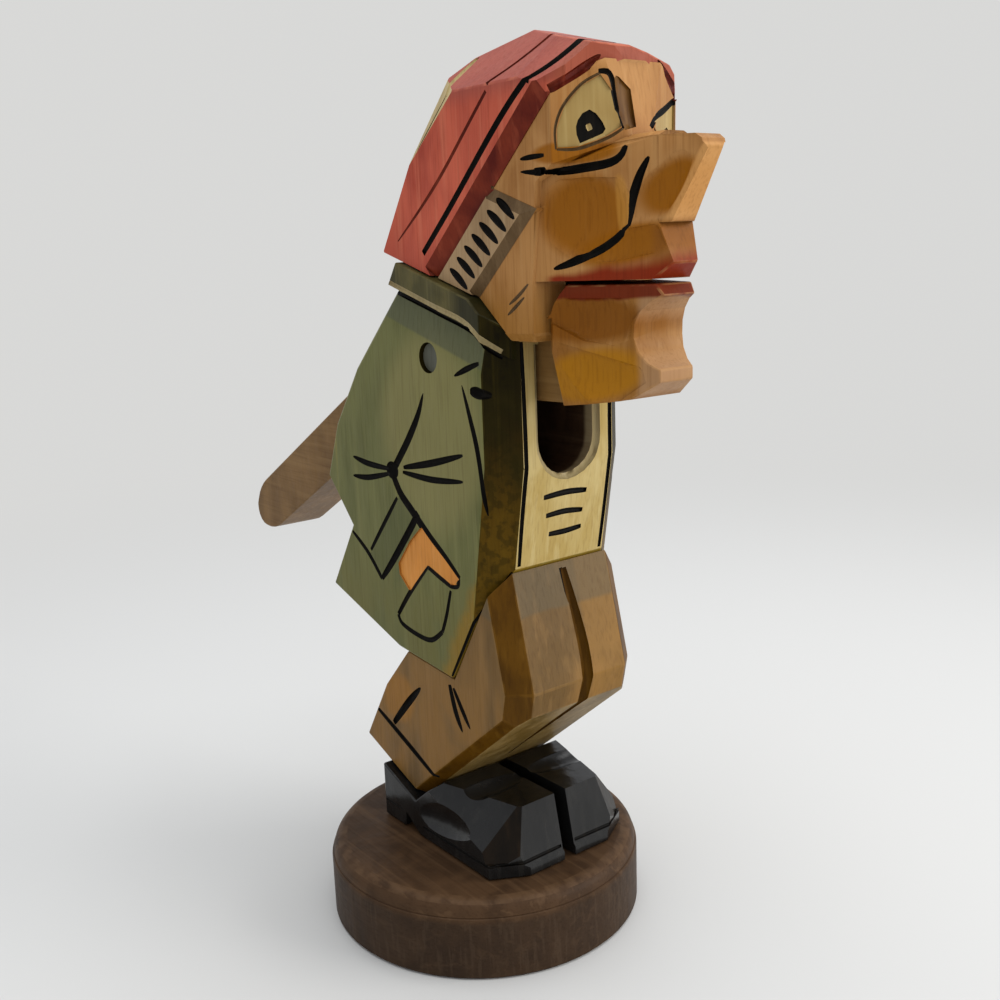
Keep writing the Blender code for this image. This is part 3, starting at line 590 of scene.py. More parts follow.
def chamfered(piece, start, end, inward, out, width, depth, colour):
    """A flat bevel along an edge of the side view: width on the flat side, depth below it, on both sides."""
    start, end = Vector(start), Vector(end)
    along = (end - start).normalized()
    across_edge = Vector((-along.y, along.x))
    if across_edge.dot(Vector(inward) - start) < 0:
        across_edge.negate()
    section = [(width, out), (-PAST_EDGE, out - depth), (-CLEAR_EDGE, out - depth)]
    section += [(-CLEAR_EDGE, out + CLEAR_FACE), (width, out + CLEAR_FACE)]
    for side in (-1, 1):
        rows = []
        for point in (start - along * CLEAR_END, end + along * CLEAR_END):
            rows.append([at(side * x, *(point + across_edge * inside)) for inside, x in section])
        carved(piece, block_between(*rows, colour))


# %% Slice a facet off with the knife
KNIFE_REACH = 8.0


def pared(piece, place, out, along, length, width, colour, sides=(-1, 1)):
    """Take off what stands above a plane, within a length and a width around one place on it."""
    size = Matrix.Diagonal((length * MM, width * MM, KNIFE_REACH * MM, 1.0))
    for side in sides:
        normal = Vector((side * out[0], out[1], out[2])).normalized()
        way = Vector((side * along[0], along[1], along[2])).normalized()
        turn = Matrix((way, normal.cross(way), normal)).transposed().to_4x4()
        lifted = Matrix.Translation(at(side * place[0], place[1], place[2]) + normal * KNIFE_REACH / 2 * MM)
        work = bmesh.new()
        bmesh.ops.create_cube(work, size=1.0)
        bmesh.ops.transform(work, matrix=lifted @ turn @ size, verts=work.verts)
        carved(piece, tool_from(closed(work, bpy.data.meshes.new("slice")), colour))


# %% [markdown]
# ## Painting by area
#
# Most paint changes at an edge of the block: the shirt is the flat front, the jacket's dark edge is the chamfer
# beside it. So each face is given its paint from where it is and which way it looks.

# %% Paint faces, and finish a piece
SHARP = math.radians(24)
FLAT_WEIGHT = 80


def painted(piece, choose, *colours):
    """Give each face the paint whose number the chooser returns, from its middle and its direction."""
    mesh = piece.data
    for colour in colours:
        mesh.materials.append(colour)
    for face in mesh.polygons:
        face.material_index = choose(spot(face.center), face.normal)


def swept_clean(mesh):
    """Take away the loose chips that crossing cuts leave behind, keeping the one large shell."""
    work = opened(mesh)
    waiting, shells = set(work.faces), []
    while waiting:
        shell, front = [], [waiting.pop()]
        while front:
            face = front.pop()
            shell.append(face)
            near = {other for edge in face.edges for other in edge.link_faces} & waiting
            waiting -= near
            front.extend(near)
        shells.append(shell)
    shells.sort(key=len)
    chips = [face for shell in shells[:-1] for face in shell]
    bmesh.ops.delete(work, geom=chips, context="FACES")
    closed(work, mesh)
    return len(shells) - 1


def finished(piece, body, *nodes, slot=None):
    """Smooth shading with sharp carved edges; then the piece takes its solids' place."""
    mesh = piece.data
    chips = swept_clean(mesh)
    mesh.shade_smooth()
    mesh.set_sharp_from_angle(angle=SHARP)
    even = piece.modifiers.new("flat_faces", "WEIGHTED_NORMAL")
    even.keep_sharp = True
    even.weight = FLAT_WEIGHT
    settled(piece)
    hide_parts(*nodes)
    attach(piece, body)
    PIECES[piece.name] = len(piece.data.polygons)
    print(piece.name, "finished with", len(mesh.polygons), "faces,", chips, "chips swept away")


# %% [markdown]
# ## The base
#
# The base was turned on a lathe and stained walnut. The solid has a plain rounded shoulder; the piece that
# stands for it has more steps around, and the fine ring that the tool leaves where the shoulder begins.

# %% Turn the base
def base_shade(finish, colour, cloud):
    """The side is darker than the top, with fine upright marks of the end grain."""
    _, _, height = finish.axes()
    marks = finish.noise(700.0, 3.0, (1.0, 1.0, 0.12))
    side = 1.0 - finish.between(height, 0.0165, 0.0185)
    colour = finish.mix(side * 0.55, colour, paint(0.026, 0.016, 0.010))
    return finish.mix(side * finish.between(marks, 0.50, 0.66) * 0.5, colour, paint(0.062, 0.038, 0.022))


WALNUT = stained("walnut_stain", paint(0.044, 0.023, 0.011), paint(0.068, 0.036, 0.017), paint(0.120, 0.068, 0.034),
                 grain=ALONG_Y, gloss=0.50, shine=0.10, rub=0.45, tint=base_shade, patch=110.0)
BASE_TURN = 160
BASE_RADIUS, SHOULDER, FOOT = 47.5, 4.3, 0.8


def base_profile():
    """The outline from the middle of the top, over the shoulder and its fine line, to the middle of the underside."""
    edge = BASE_RADIUS - SHOULDER
    points = [(0.0, BASE_TOP), (edge - 0.6, BASE_TOP), (edge, BASE_TOP - 0.15)]
    for step in range(1, 9):
        angle = math.pi / 2 * (1 - step / 9)
        points.append((edge + 3.6 * math.cos(angle), BASE_TOP - 4.2 + 4.05 * math.sin(angle)))
    points += [(edge + 3.75, BASE_TOP - 4.2), (edge + 3.65, BASE_TOP - 4.5), (edge + 4.05, BASE_TOP - 4.75)]
    points += [(BASE_RADIUS, BASE_TOP - 5.6), (BASE_RADIUS, FOOT), (BASE_RADIUS - FOOT, 0.0), (0.0, 0.0)]
    return points


def turned_base():
    work = bmesh.new()
    rubbed = work.faces.layers.float.new("rubbed")
    line = [work.verts.new((radius * MM, 0.0, height * MM)) for radius, height in base_profile()]
    edges = [work.edges.new(pair) for pair in zip(line, line[1:])]
    bmesh.ops.spin(
        work, geom=line + edges, cent=(0, 0, 0), axis=(0, 0, 1), angle=2 * math.pi, steps=BASE_TURN, use_merge=True
    )
    bmesh.ops.remove_doubles(work, verts=work.verts, dist=WELD)
    bmesh.ops.recalc_face_normals(work, faces=work.faces)
    for face in work.faces:
        middle = face.calc_center_median()
        out = Vector((middle.x, middle.y)).length / MM
        face[rubbed] = 1.0 if BASE_RADIUS - SHOULDER - 0.7 < out < BASE_RADIUS - 2.0 and middle.z > 0.01 else 0.0
    return placed("turned_base", closed(work, bpy.data.meshes.new("turned_base")))


base = turned_base()
painted(base, lambda place, out: 0, WALNUT)
finished(base, "figure", "base", slot="walnut")

# %% [markdown]
# ## The shoes
#
# The shoes are black with a glossy varnish, so their flat facets mirror the bright room. Each has a thin
# groove for the sole, shallow dents where the leather would crease, and a facet sliced off the toe's corner.

# %% Carve the shoes
SHOE_BLACK = stained("shoe_gloss_black", paint(0.004, 0.004, 0.004), paint(0.010, 0.010, 0.010),
                     paint(0.020, 0.019, 0.017), gloss=0.20, shine=0.32, rub=0.0)
SHOE_CORNER = stained("shoe_corner_brown_black", paint(0.004, 0.003, 0.002), paint(0.010, 0.006, 0.003),
                      paint(0.022, 0.012, 0.005), gloss=0.35, shine=0.10, rub=0.0)
SOLE_LINE = [((-33.5, 4.5), (-20.0, 4.2), (-8.0, 4.0), (3.5, 3.8)), 1.2, (0.5, 0.3)]
TOE_LINE = [((2.6, 4.8), (12.0, 4.7), (23.6, 4.5)), 1.2, (0.8, 0.8)]
HEEL_LINE = [((14.0, 5.4), (19.0, 5.4), (24.0, 5.4)), 0.7, (0.6, 0.9)]

for word, side in (("right", -1), ("left", 1)):
    shoe = copied("shoe_" + word, "shoe_" + word + "_carved")
    painted(shoe, lambda place, out: 0, SHOE_BLACK)
    scoop(shoe, SIDE, (-9.5, 10.8), (-16.0, 12.2), 30.0, 10.5, 1.7, SHOE_BLACK, sides=(side,))
    scoop(shoe, TOP, (14.0, -15.5), (20.0, -15.5), 26.0, 10.0, 2.0, SHOE_BLACK, sides=(side,))
    pared(shoe, (18.07, -30.83, 12.6), (0.62, -0.72, 0.31), (-0.202, 0.235, 0.951), 16.8, 22.0, SHOE_CORNER,
          sides=(side,))
    rub_soft(shoe)
    cut_lines(shoe, SIDE, [SOLE_LINE, HEEL_LINE], BLACK, sides=(side,))
    cut_lines(shoe, FRONT, [TOE_LINE], BLACK, sides=(side,))
    finished(shoe, "figure", "shoe_" + word, slot="shoe_black")

# %% [markdown]
# ## The trousers
#
# Both legs are one block. A wide groove down the front parts them; a line marks the turned-up cuff, and a few
# long cuts are the folds behind the knee. The stain is brown, ochre on the chamfers and pale under the shins.

# %% Carve the trousers
def trouser_patches(finish, colour, cloud):
    """Cooler brown over the thighs, warm orange brown towards the cuffs, and painted shade across the top, under the
    jacket's hem.
    """
    x, back, height = finish.axes()
    warm = finish.between(cloud, 0.42, 0.60) * (1.0 - finish.between(height, 0.060, 0.100))
    colour = finish.mix(warm * 0.6, colour, paint(0.240, 0.115, 0.020))
    patch = oval(finish, back, height, (17.0, 41.0), (10.0, 8.0), math.radians(-40))
    colour = finish.mix(patch * 0.7, colour, paint(0.300, 0.130, 0.014))
    colour = finish.mix(finish.between(x, 0.0085, 0.0105) * 0.5, colour, paint(0.300, 0.150, 0.030))
    # Painted shade: the top of the trousers, under the jacket's hem, is darker and greyer.
    shade_under_hem = finish.between(height + cloud * 0.006, 0.1030, 0.1045)
    return finish.mix(shade_under_hem * 0.6, colour, paint(0.105, 0.080, 0.042))


TROUSER = stained("trouser_stain", paint(0.125, 0.068, 0.018), paint(0.205, 0.110, 0.030), paint(0.255, 0.140, 0.044),
                  shine=0.14, tint=trouser_patches, patch=45.0)
TROUSER_EDGE = stained("trouser_edge_ochre", paint(0.060, 0.024, 0.001), paint(0.105, 0.044, 0.002),
                       paint(0.170, 0.078, 0.008), shine=0.08)
TROUSER_UNDER = stained("trouser_under_ochre", paint(0.130, 0.076, 0.014), paint(0.240, 0.155, 0.050),
                        paint(0.340, 0.245, 0.110), shine=0.10)


def trouser_area(place, out):
    """Ochre on the chamfers, paler where the brush hardly reached under the shins, brown on the rest."""
    if out.y < -0.3 and out.z < -0.6 and abs(out.x) < 0.2:
        return 2
    return 1 if out.y < -0.3 and (abs(out.x) > 0.4 or out.z < -0.4) else 0


trousers = copied("trousers", "trousers_carved")
painted(trousers, trouser_area, TROUSER, TROUSER_EDGE, TROUSER_UNDER)
rub_soft(trousers)
LEG_GROOVE = [((0.4, 91.6), (2.0, 78.0), (3.0, 65.0), (2.2, 54.0), (0.8, 44.0), (0.0, 30.0)), 4.4, (0.15, 0.30)]
LEG_LINE = [((-0.6, 91.8), (0.6, 78.0), (1.2, 65.0), (0.6, 54.0), (-0.2, 44.0), (-0.2, 24.0)), 1.5, (0.8, 0.6)]
cut_lines(trousers, FRONT, [LEG_GROOVE], TROUSER_EDGE, sides=(1,))
cut_lines(trousers, FRONT, [LEG_LINE], BLACK, sides=(1,))
FOLDS = [
    [((4.6, 47.9), (12.1, 40.7), (20.8, 31.5)), 2.6, (0.15, 0.60)],
    [((-10.6, 53.4), (-13.0, 45.9), (-16.0, 40.4)), 2.3, (0.6, 0.1)],
    [((-12.4, 52.9), (-16.5, 47.0), (-19.8, 42.6)), 1.9, (0.5, 0.1)],
    [((29.8, 33.6), (20.2, 29.8), (9.0, 25.2), (-1.2, 20.8)), 2.1, (0.6, 0.6)],
]
cut_lines(trousers, SIDE, FOLDS, BLACK)
CUFF_BACK = [((22.6, 33.9), (10.0, 34.0), (0.0, 34.0), (-10.0, 34.0), (-22.6, 33.9)), 2.0, (0.7, 0.7)]
LEG_BACK = [((0.0, 60.0), (0.3, 46.0), (0.0, 34.0), (0.0, 24.0)), 2.2, (0.5, 0.8)]
cut_lines(trousers, BACK, [CUFF_BACK, LEG_BACK], BLACK, sides=(1,))
finished(trousers, "figure", "trousers", slot="trouser_brown")

# %% [markdown]
# ## The jacket
#
# The jacket block carries the most drawing: creases that meet at the elbow, the sleeve and its cuff, the hand
# in the pocket. The front of the block is a cream shirt between two dark edges.

# %% Jacket finishes
def jacket_shade(finish, colour, cloud):
    """Yellow-green patches, a painted grey-green band of shade and reflection under the collar, and a golden edge
    along the front hem.
    """
    _, back, height = finish.axes()
    under_collar = height - back * 0.289 - 0.1873
    chest = oval(finish, back, height + (cloud - 0.5) * 0.02, (-8.0, 126.0), (27.0, 30.0))
    colour = finish.mix(chest * 0.75, colour, paint(0.225, 0.200, 0.070))
    gold = finish.between(cloud, 0.44, 0.62) * (1.0 - finish.between(height, 0.085, 0.125))
    colour = finish.mix(gold * 0.5, colour, paint(0.120, 0.100, 0.018))
    streaks = finish.between(finish.noise(260.0, 3.0, ALONG_Z), 0.55, 0.66) * finish.between(back, 0.022, 0.045)
    colour = finish.mix(streaks * 0.6, colour, paint(0.230, 0.190, 0.040))
    across_cuff, along_cuff = back * 755.0 + height * 655.0, back * 655.0 - height * 755.0
    cuff = finish.between(across_cuff, 82.7, 83.2) * (1.0 - finish.between(across_cuff, 91.5, 92.2))
    cuff = cuff * finish.between(along_cuff, -92.5, -91.5) * (1.0 - finish.between(along_cuff, -63.6, -62.6))
    colour = finish.mix(cuff * 0.6, colour, paint(0.072, 0.080, 0.024))
    # Painted shade and reflection: a darker grey-green band just under the collar.
    band = finish.between(under_collar, -0.0102, -0.0092) * (1.0 - finish.between(under_collar, 0.0, 0.004))
    colour = finish.mix(band * 0.75, colour, paint(0.085, 0.090, 0.048))
    from_hem = (back + 0.013) * 0.860 + (height - 0.0794) * 0.511
    hem = 1.0 - finish.between(from_hem + (finish.noise(160.0, 3.0) - 0.5) * 0.006, 0.0026, 0.0068)
    return finish.mix(hem * 0.9, colour, paint(0.230, 0.135, 0.010))


def edge_shade(finish, colour, cloud):
    """The dark chamfer: nearly black at the top, golden brown at the foot."""
    _, _, height = finish.axes()
    low = 1.0 - finish.between(height + (cloud - 0.5) * 0.07, 0.098, 0.160)
    colour = finish.mix(low * 0.85, colour, paint(0.125, 0.066, 0.004))
    speckle = finish.between(finish.noise(420.0, 4.0), 0.46, 0.60)
    return finish.mix(speckle * 0.45, colour, paint(0.016, 0.012, 0.001))


def collar_shade(finish, colour, cloud):
    """The collar darkens towards the throat."""
    _, back, _ = finish.axes()
    front = finish.between((cloud - 0.5) * 0.012 - back, 0.018, 0.027)
    return finish.mix(front * 0.85, colour, paint(0.012, 0.012, 0.003))


def slot_shade(finish, colour, cloud):
    """The slot's mouth is cream like the shirt; further in it is dark brown."""
    _, back, _ = finish.axes()
    mouth = finish.between((cloud - 0.5) * 0.002 - back, 0.0335, 0.0352)
    return finish.mix(mouth * 0.8, colour, paint(0.340, 0.265, 0.150))


JACKET = stained("jacket_olive", paint(0.088, 0.092, 0.026), paint(0.148, 0.150, 0.048), paint(0.205, 0.195, 0.068),
                 shine=0.14, tint=jacket_shade, patch=32.0)
JACKET_EDGE = stained("jacket_edge_dark", paint(0.007, 0.005, 0.001), paint(0.022, 0.016, 0.002),
                      paint(0.050, 0.036, 0.004), shine=0.05, tint=edge_shade)
COLLAR = stained("collar_olive", paint(0.040, 0.036, 0.010), paint(0.120, 0.098, 0.030), paint(0.150, 0.125, 0.045),
                 tint=collar_shade)
TAN_LIP = stained("collar_lip_tan", paint(0.270, 0.205, 0.095), paint(0.360, 0.285, 0.140),
                  paint(0.420, 0.345, 0.190))
SHIRT = stained("shirt_cream", paint(0.400, 0.280, 0.085), paint(0.500, 0.385, 0.160), paint(0.570, 0.460, 0.220),
                gloss=0.46, rub=0.2)
SLOT_BROWN = stained("slot_brown", paint(0.020, 0.010, 0.006), paint(0.055, 0.030, 0.016), paint(0.100, 0.060, 0.034),
                     grain=ALONG_Y, tint=slot_shade)

# %% Paint the jacket's faces
SLOT_HALF = 9.9
PIN_PLACE, PIN_HOLE = Vector((-8.5, 147.0)), 4.2


def jacket_area(place, out):
    """Which paint a face of the jacket block gets."""
    collar_foot = min(156.0 + 0.289 * (place.y + 28.0), 156.0 + 0.83 * (place.y + 28.0))
    if abs(place.x) < SLOT_HALF and abs(out.y) < 0.9 and place.z > 95.0 and (abs(out.x) > 0.5 or place.y < 30.0):
        return 4
    # The pivot hole's wall takes the dark edge paint, as a painted shadow around the pin's end.
    if abs(out.x) < 0.5 and (Vector((place.y, place.z)) - PIN_PLACE).length < PIN_HOLE:
        return 1
    if out.y < -0.9 and abs(place.x) < 17.0 and (place.y < -38.2 or place.z < 125.0):
        return 3
    if out.y < -0.35 and abs(out.x) > 0.35:
        return 1
    if place.z > collar_foot - 0.4 and place.z > 145.0:
        return 2
    return 0


jacket = copied("jacket", "jacket_carved")
painted(jacket, jacket_area, JACKET, JACKET_EDGE, COLLAR, SHIRT, SLOT_BROWN)
rub_soft(jacket)

# %% Cut the hand and the creases
HAND_OUTLINE = [(-0.6, 98.2), (5.5, 93.0), (12.0, 85.2), (11.6, 81.9), (6.8, 77.8), (-3.2, 87.4), (-13.6, 84.2),
                (-16.4, 84.4), (-18.2, 87.0), (-9.7, 92.9)]
sink_panel(jacket, SIDE, HAND_OUTLINE, 0.5, HAND)
CREASES = [
    [((-5.4, 137.2), (-2.2, 130.7), (3.3, 123.2), (8.8, 116.9), (12.6, 112.6)), 2.6, (0.08, 0.95)],
    [((34.2, 114.6), (25.6, 113.5), (14.0, 113.4)), 1.9, (0.2, 0.5)],
    [((34.8, 108.6), (26.1, 109.2), (14.0, 112.0)), 1.8, (0.2, 0.5)],
    [((6.5, 114.8), (-7.8, 117.9), (-22.6, 121.9)), 2.1, (0.45, 0.3)],
    [((7.0, 113.4), (-7.4, 113.2), (-22.2, 114.6)), 1.9, (0.45, 0.3)],
    [((13.0, 113.4), (9.1, 107.2), (3.1, 102.5), (-4.6, 96.6), (-12.2, 91.6), (-18.6, 86.8)), 2.9, (0.9, 0.7)],
    [((10.7, 105.3), (18.3, 96.6), (27.1, 86.4)), 1.5, (0.7, 0.7)],
    [((37.4, 90.5), (28.8, 85.2), (21.7, 78.4)), 1.7, (0.5, 0.9)],
    [((21.7, 78.4), (14.9, 85.4), (5.1, 96.4), (0.2, 102.4)), 2.6, (0.5, 0.9)],
    [((-23.5, 140.7), (-26.0, 133.8), (-29.0, 124.7), (-30.6, 115.4), (-30.9, 106.5)), 2.0, (0.15, 0.15)],
    [((-20.2, 142.9), (-26.2, 145.2), (-30.8, 146.8)), 1.7, (0.1, 0.5)],
    [((-27.0, 139.4), (-30.2, 139.2), (-33.6, 138.6)), 3.2, (0.3, 0.3)],
    [((-18.4, 87.6), (-17.6, 84.6), (-13.6, 83.6)), 1.5, (0.6, 0.5)],
    [((-33.0, 90.2), (-23.0, 73.4), (-12.9, 56.8)), 1.1, (0.8, 0.6)],
]
POCKET = [
    [((-3.1, 87.2), (6.9, 77.0), (13.6, 69.0)), 1.7, (0.8, 0.8)],
    [((13.6, 69.0), (11.6, 66.5), (3.7, 65.0), (-3.4, 65.2), (-9.2, 69.1)), 1.6, (0.9, 0.9)],
    [((-9.2, 69.1), (-11.6, 74.6), (-14.2, 82.5)), 1.4, (0.9, 0.7)],
    [((-3.1, 87.2), (-8.5, 85.4), (-13.8, 83.8)), 1.3, (0.9, 0.9)],
]
cut_lines(jacket, SIDE, CREASES + POCKET, BLACK)
scoop(jacket, SIDE, (13.2, 112.9), (15.0, 112.9), 5.0, 4.0, 0.9, BLACK)

# %% Cut the collar's edge and the shirt's lines
COLLAR_GROOVE = [((8.4, 164.6), (-12.0, 159.2), (-28.0, 154.4), (-35.6, 148.0)), 1.7, (0.6, 0.4)]
COLLAR_LIP = [((7.6, 167.0), (-12.0, 161.3), (-27.6, 156.8), (-36.4, 149.8)), 1.9, (0.9, 0.8)]
cut_lines(jacket, SIDE, [COLLAR_GROOVE], BLACK)
cut_lines(jacket, SIDE, [COLLAR_LIP], TAN_LIP, sink=-0.55)
SHIRT_EDGE = [((15.3, 152.0), (15.1, 141.0), (14.9, 125.0), (14.9, 106.0), (14.6, 91.6)), 1.5, (0.7, 0.8)]
cut_lines(jacket, FRONT, [SHIRT_EDGE], BLACK)
SLOT_EDGE = [(9.95, 151.0), (9.95, 138.0), (9.95, 125.6), (9.65, 123.0), (8.6, 120.5), (7.1, 118.4), (5.05, 116.85),
             (2.55, 115.85), (0.0, 115.45)]
SLOT_RIM = [SLOT_EDGE + [(-x, z) for x, z in reversed(SLOT_EDGE[:-1])], 3.0, (0.9, 0.9)]
cut_lines(jacket, FRONT, [SLOT_RIM], TAN_LIP, sides=(1,))
SHIRT_MARKS = [
    [((-8.0, 110.0), (0.0, 110.4), (7.4, 109.8)), 1.9, (0.75, 0.7)],
    [((-6.6, 104.6), (0.0, 104.9), (6.6, 104.2)), 1.8, (0.75, 0.7)],
    [((-5.0, 99.1), (1.0, 99.0), (6.7, 99.4)), 1.8, (0.75, 0.7)],
]
cut_lines(jacket, FRONT, SHIRT_MARKS, BLACK, sides=(1,))
finished(jacket, "figure", "jacket", slot="jacket_green")

# %% [markdown]
# ## The head
#
# The head has the deepest carving. The cap's brim is bevelled; the cheeks, the nose and the upper lip are
# scooped hollow; dark cuts give the smile and the eyes their look.

# %% Head finishes
def cap_shade(finish, colour, cloud):
    """The cap is pinker and paler on top, as a painted reflection of the light above; its front is painted darker, as
    painted shade; it is deep red at its foot.
    """
    _, back, height = finish.axes()
    # Painted reflection: a pinker tone on the cap's top.
    colour = finish.mix(finish.between(height, 0.232, 0.238) * 0.65, colour, paint(0.290, 0.074, 0.056))
    # Painted shade: the cap's front, where the lamp's light falls, is darker.
    colour = finish.mix(finish.between(back * -1.0, 0.0570, 0.0600) * 0.6, colour, paint(0.300, 0.074, 0.034))
    return finish.mix((1.0 - finish.between(height, 0.192, 0.210)) * 0.6, colour, paint(0.360, 0.056, 0.032))


def skin_shade(finish, colour, cloud):
    """Deep ochre in the hollows, a painted highlight on the front of the nose towards its tip, and the upper lip's
    red, which fades upwards.
    """
    _, back, height = finish.axes()
    reach = finish.between(back * -1.0, 0.048, 0.084) * 0.0050 + 0.0015
    red = 1.0 - finish.between((height - 0.1905) / reach + (cloud - 0.5), 0.35, 1.15)
    ahead_of_mouth = finish.between(back * -1.0, 0.0515, 0.0545)
    hollows = [
        ((-60.8, 182.2), (10.4, 10.6), 0.0), ((-80.6, 188.0), (9.4, 5.6), math.radians(150)),
        ((-70.6, 175.4), (13.0, 4.8), math.radians(168)), ((-60.0, 196.4), (10.0, 2.6), 0.0),
    ]
    for middle, radii, turn in hollows:
        share = oval(finish, back, height, middle, radii, turn) * (0.75 + cloud * 0.4)
        colour = finish.mix(share * 0.95, colour, paint(0.290, 0.096, 0.001))
    strip = oval(finish, back, height, (-69.0, 184.4), (2.2, 7.0))
    colour = finish.mix(strip * 0.6, colour, paint(0.540, 0.250, 0.040))
    low = 1.0 - finish.between(height + (cloud - 0.5) * 0.01, 0.178, 0.196)
    colour = finish.mix(low * 0.6, colour, paint(0.290, 0.125, 0.014))
    front_lip = finish.between(back * -1.0, 0.0740, 0.0770) * (1.0 - finish.between(height, 0.2010, 0.2045))
    colour = finish.mix(front_lip * 0.7, colour, paint(0.230, 0.080, 0.012))
    # Painted highlight: the nose's front, towards the tip, is brighter.
    before_tip = back * -1000.0 - (height * 1000.0 - 203.3) * 0.623 - 79.6
    tip = finish.between(before_tip, -1.5, -0.7) * finish.between(height, 0.2030, 0.2050)
    colour = finish.mix(tip * 0.7, colour, paint(0.620, 0.315, 0.105))
    return finish.mix(red * ahead_of_mouth * 0.95, colour, paint(0.210, 0.016, 0.003))


CAP_RED = stained("cap_red", paint(0.350, 0.048, 0.026), paint(0.560, 0.112, 0.060), paint(0.640, 0.190, 0.105),
                  turn=(math.radians(-42), 0.0, 0.0), shine=0.10, tint=cap_shade, patch=50.0)
CAP_DARK = stained("cap_dark_red", paint(0.095, 0.006, 0.002), paint(0.190, 0.024, 0.008), paint(0.320, 0.060, 0.026))
SKIN = stained("skin_tan", paint(0.330, 0.145, 0.040), paint(0.440, 0.216, 0.070), paint(0.510, 0.280, 0.105),
               shine=0.08, rub=0.25, tint=skin_shade)
BROW_SHADE = stained("brow_painted_shade", paint(0.080, 0.030, 0.003), paint(0.150, 0.064, 0.008), paint(0.230, 0.110, 0.022))
HAIR = stained("sideburn_tan", paint(0.270, 0.165, 0.078), paint(0.370, 0.240, 0.122), paint(0.430, 0.300, 0.170))
EYE = stained("eye_cream", paint(0.330, 0.215, 0.068), paint(0.450, 0.320, 0.120), paint(0.540, 0.410, 0.170),
              gloss=0.35, rub=0.2, grainy=0.12)

# %% Paint the head's faces
BRIM_FOOT, BRIM_CORNER, BRIM_FRONT = Vector((-11.8, 168.2)), Vector((-58.3, 209.8)), Vector((-64.6, 217.0))


def above_line(place, start, end):
    """How far a place lies above a line of the side view."""
    along = (end - start).normalized()
    away = Vector((place.y, place.z)) - start
    return along.y * away.x - along.x * away.y


def head_area(place, out):
    """Cap, sideburn or skin, from where the face is."""
    capped = min(above_line(place, BRIM_FOOT, BRIM_CORNER), above_line(place, BRIM_CORNER, BRIM_FRONT))
    if capped > 0.25 and out.y > 0.15 and abs(out.x) > 0.3:
        return 4
    if capped > 0.25:
        return 0
    if capped > -0.3 and out.z < -0.3 and abs(place.x) > 12.0:
        return 1
    if abs(place.x) > 20.8:
        return 3
    return 2


head = copied("head", "head_carved")
painted(head, head_area, CAP_RED, CAP_DARK, SKIN, HAIR, CREAM)

# %% Bevel the brim, the cap's back edges and the sideburns
pared(head, (22.4, -14.3, 207.6), (0.869, 0.309, 0.389), (0.0, 0.782, -0.622), 34.0, 18.0, CREAM)
pared(head, (8.0, -55.0, 220.6), (0.23, -0.26, 1.0), (0.0, 1.0, 0.26), 40.0, 24.0, CAP_RED, sides=(1,))
SIDEBURN_TOP, SIDEBURN_CORNER, SIDEBURN_FOOT = (-35.9, 189.8), (-52.3, 184.3), (-28.4, 163.5)
chamfered(head, BRIM_FOOT, BRIM_CORNER, (-20.0, 200.0), 23.0, 4.4, 2.3, CAP_DARK)
chamfered(head, SIDEBURN_TOP, SIDEBURN_CORNER, (-35.0, 178.0), 22.0, 2.6, 1.4, BROWN_LINE)
chamfered(head, SIDEBURN_CORNER, SIDEBURN_FOOT, (-35.0, 178.0), 22.0, 2.4, 1.4, BROWN_LINE)
CORNER = [(17.8, -60.3), (23.4, -55.2), (26.0, -58.0), (21.0, -66.0)]
CORNER_FOOT, CORNER_TOP = 209.9, 226.0
for side in (-1, 1):
    rows = [[at(side * x, y, z) for x, y in CORNER] for z in (CORNER_FOOT, CORNER_TOP)]
    carved(head, block_between(*rows, CAP_RED))

# %% Scoop the cheeks, the nose and the upper lip
CHEEK = [(-53.2, 190.6), (-62.0, 190.9), (-70.0, 190.4), (-71.6, 186.0), (-70.4, 180.2), (-63.0, 174.4),
         (-54.6, 171.6), (-52.6, 180.0)]
LIP = [(-69.8, 178.9), (-77.0, 179.9), (-79.4, 173.8), (-68.0, 171.6), (-58.6, 171.4), (-64.0, 174.6)]
BROW = [(8.0, 213.8), (5.2, 213.0), (1.9, 210.4), (1.4, 202.0), (4.8, 201.2), (6.0, 206.0)]
scoop(head, SIDE, (-62.0, 182.4), (-69.0, 182.4), 23.5, 21.0, 2.6, SKIN, within=CHEEK)
scoop(head, SIDE, (-80.0, 188.4), (-84.8, 194.6), 17.0, 9.0, 1.4, SKIN)
scoop(head, SIDE, (-70.8, 175.4), (-76.4, 176.6), 21.0, 8.6, 1.3, SKIN, within=LIP)
# The near brow hollow is cut into the wood; its brown is painted shade beside the eye.
scoop(head, FRONT, (3.9, 206.5), (4.8, 212.5), 15.0, 7.5, 1.2, BROW_SHADE, sides=(-1,), within=BROW)
pared(head, (3.86, -83.8, 188.1), (0.656, -0.669, -0.351), (0.08, 0.527, -0.846), 20.0, 8.0, SKIN)
pared(head, (0.0, -87.9, 198.1), (0.0, -0.55, 0.835), (1.0, 0.0, 0.0), 14.0, 10.0, SKIN, sides=(1,))

rub_soft(head, leave=lambda place: abs(place.x) < 9.5 and -83.0 < place.y < -66.0 and place.z > 184.0)

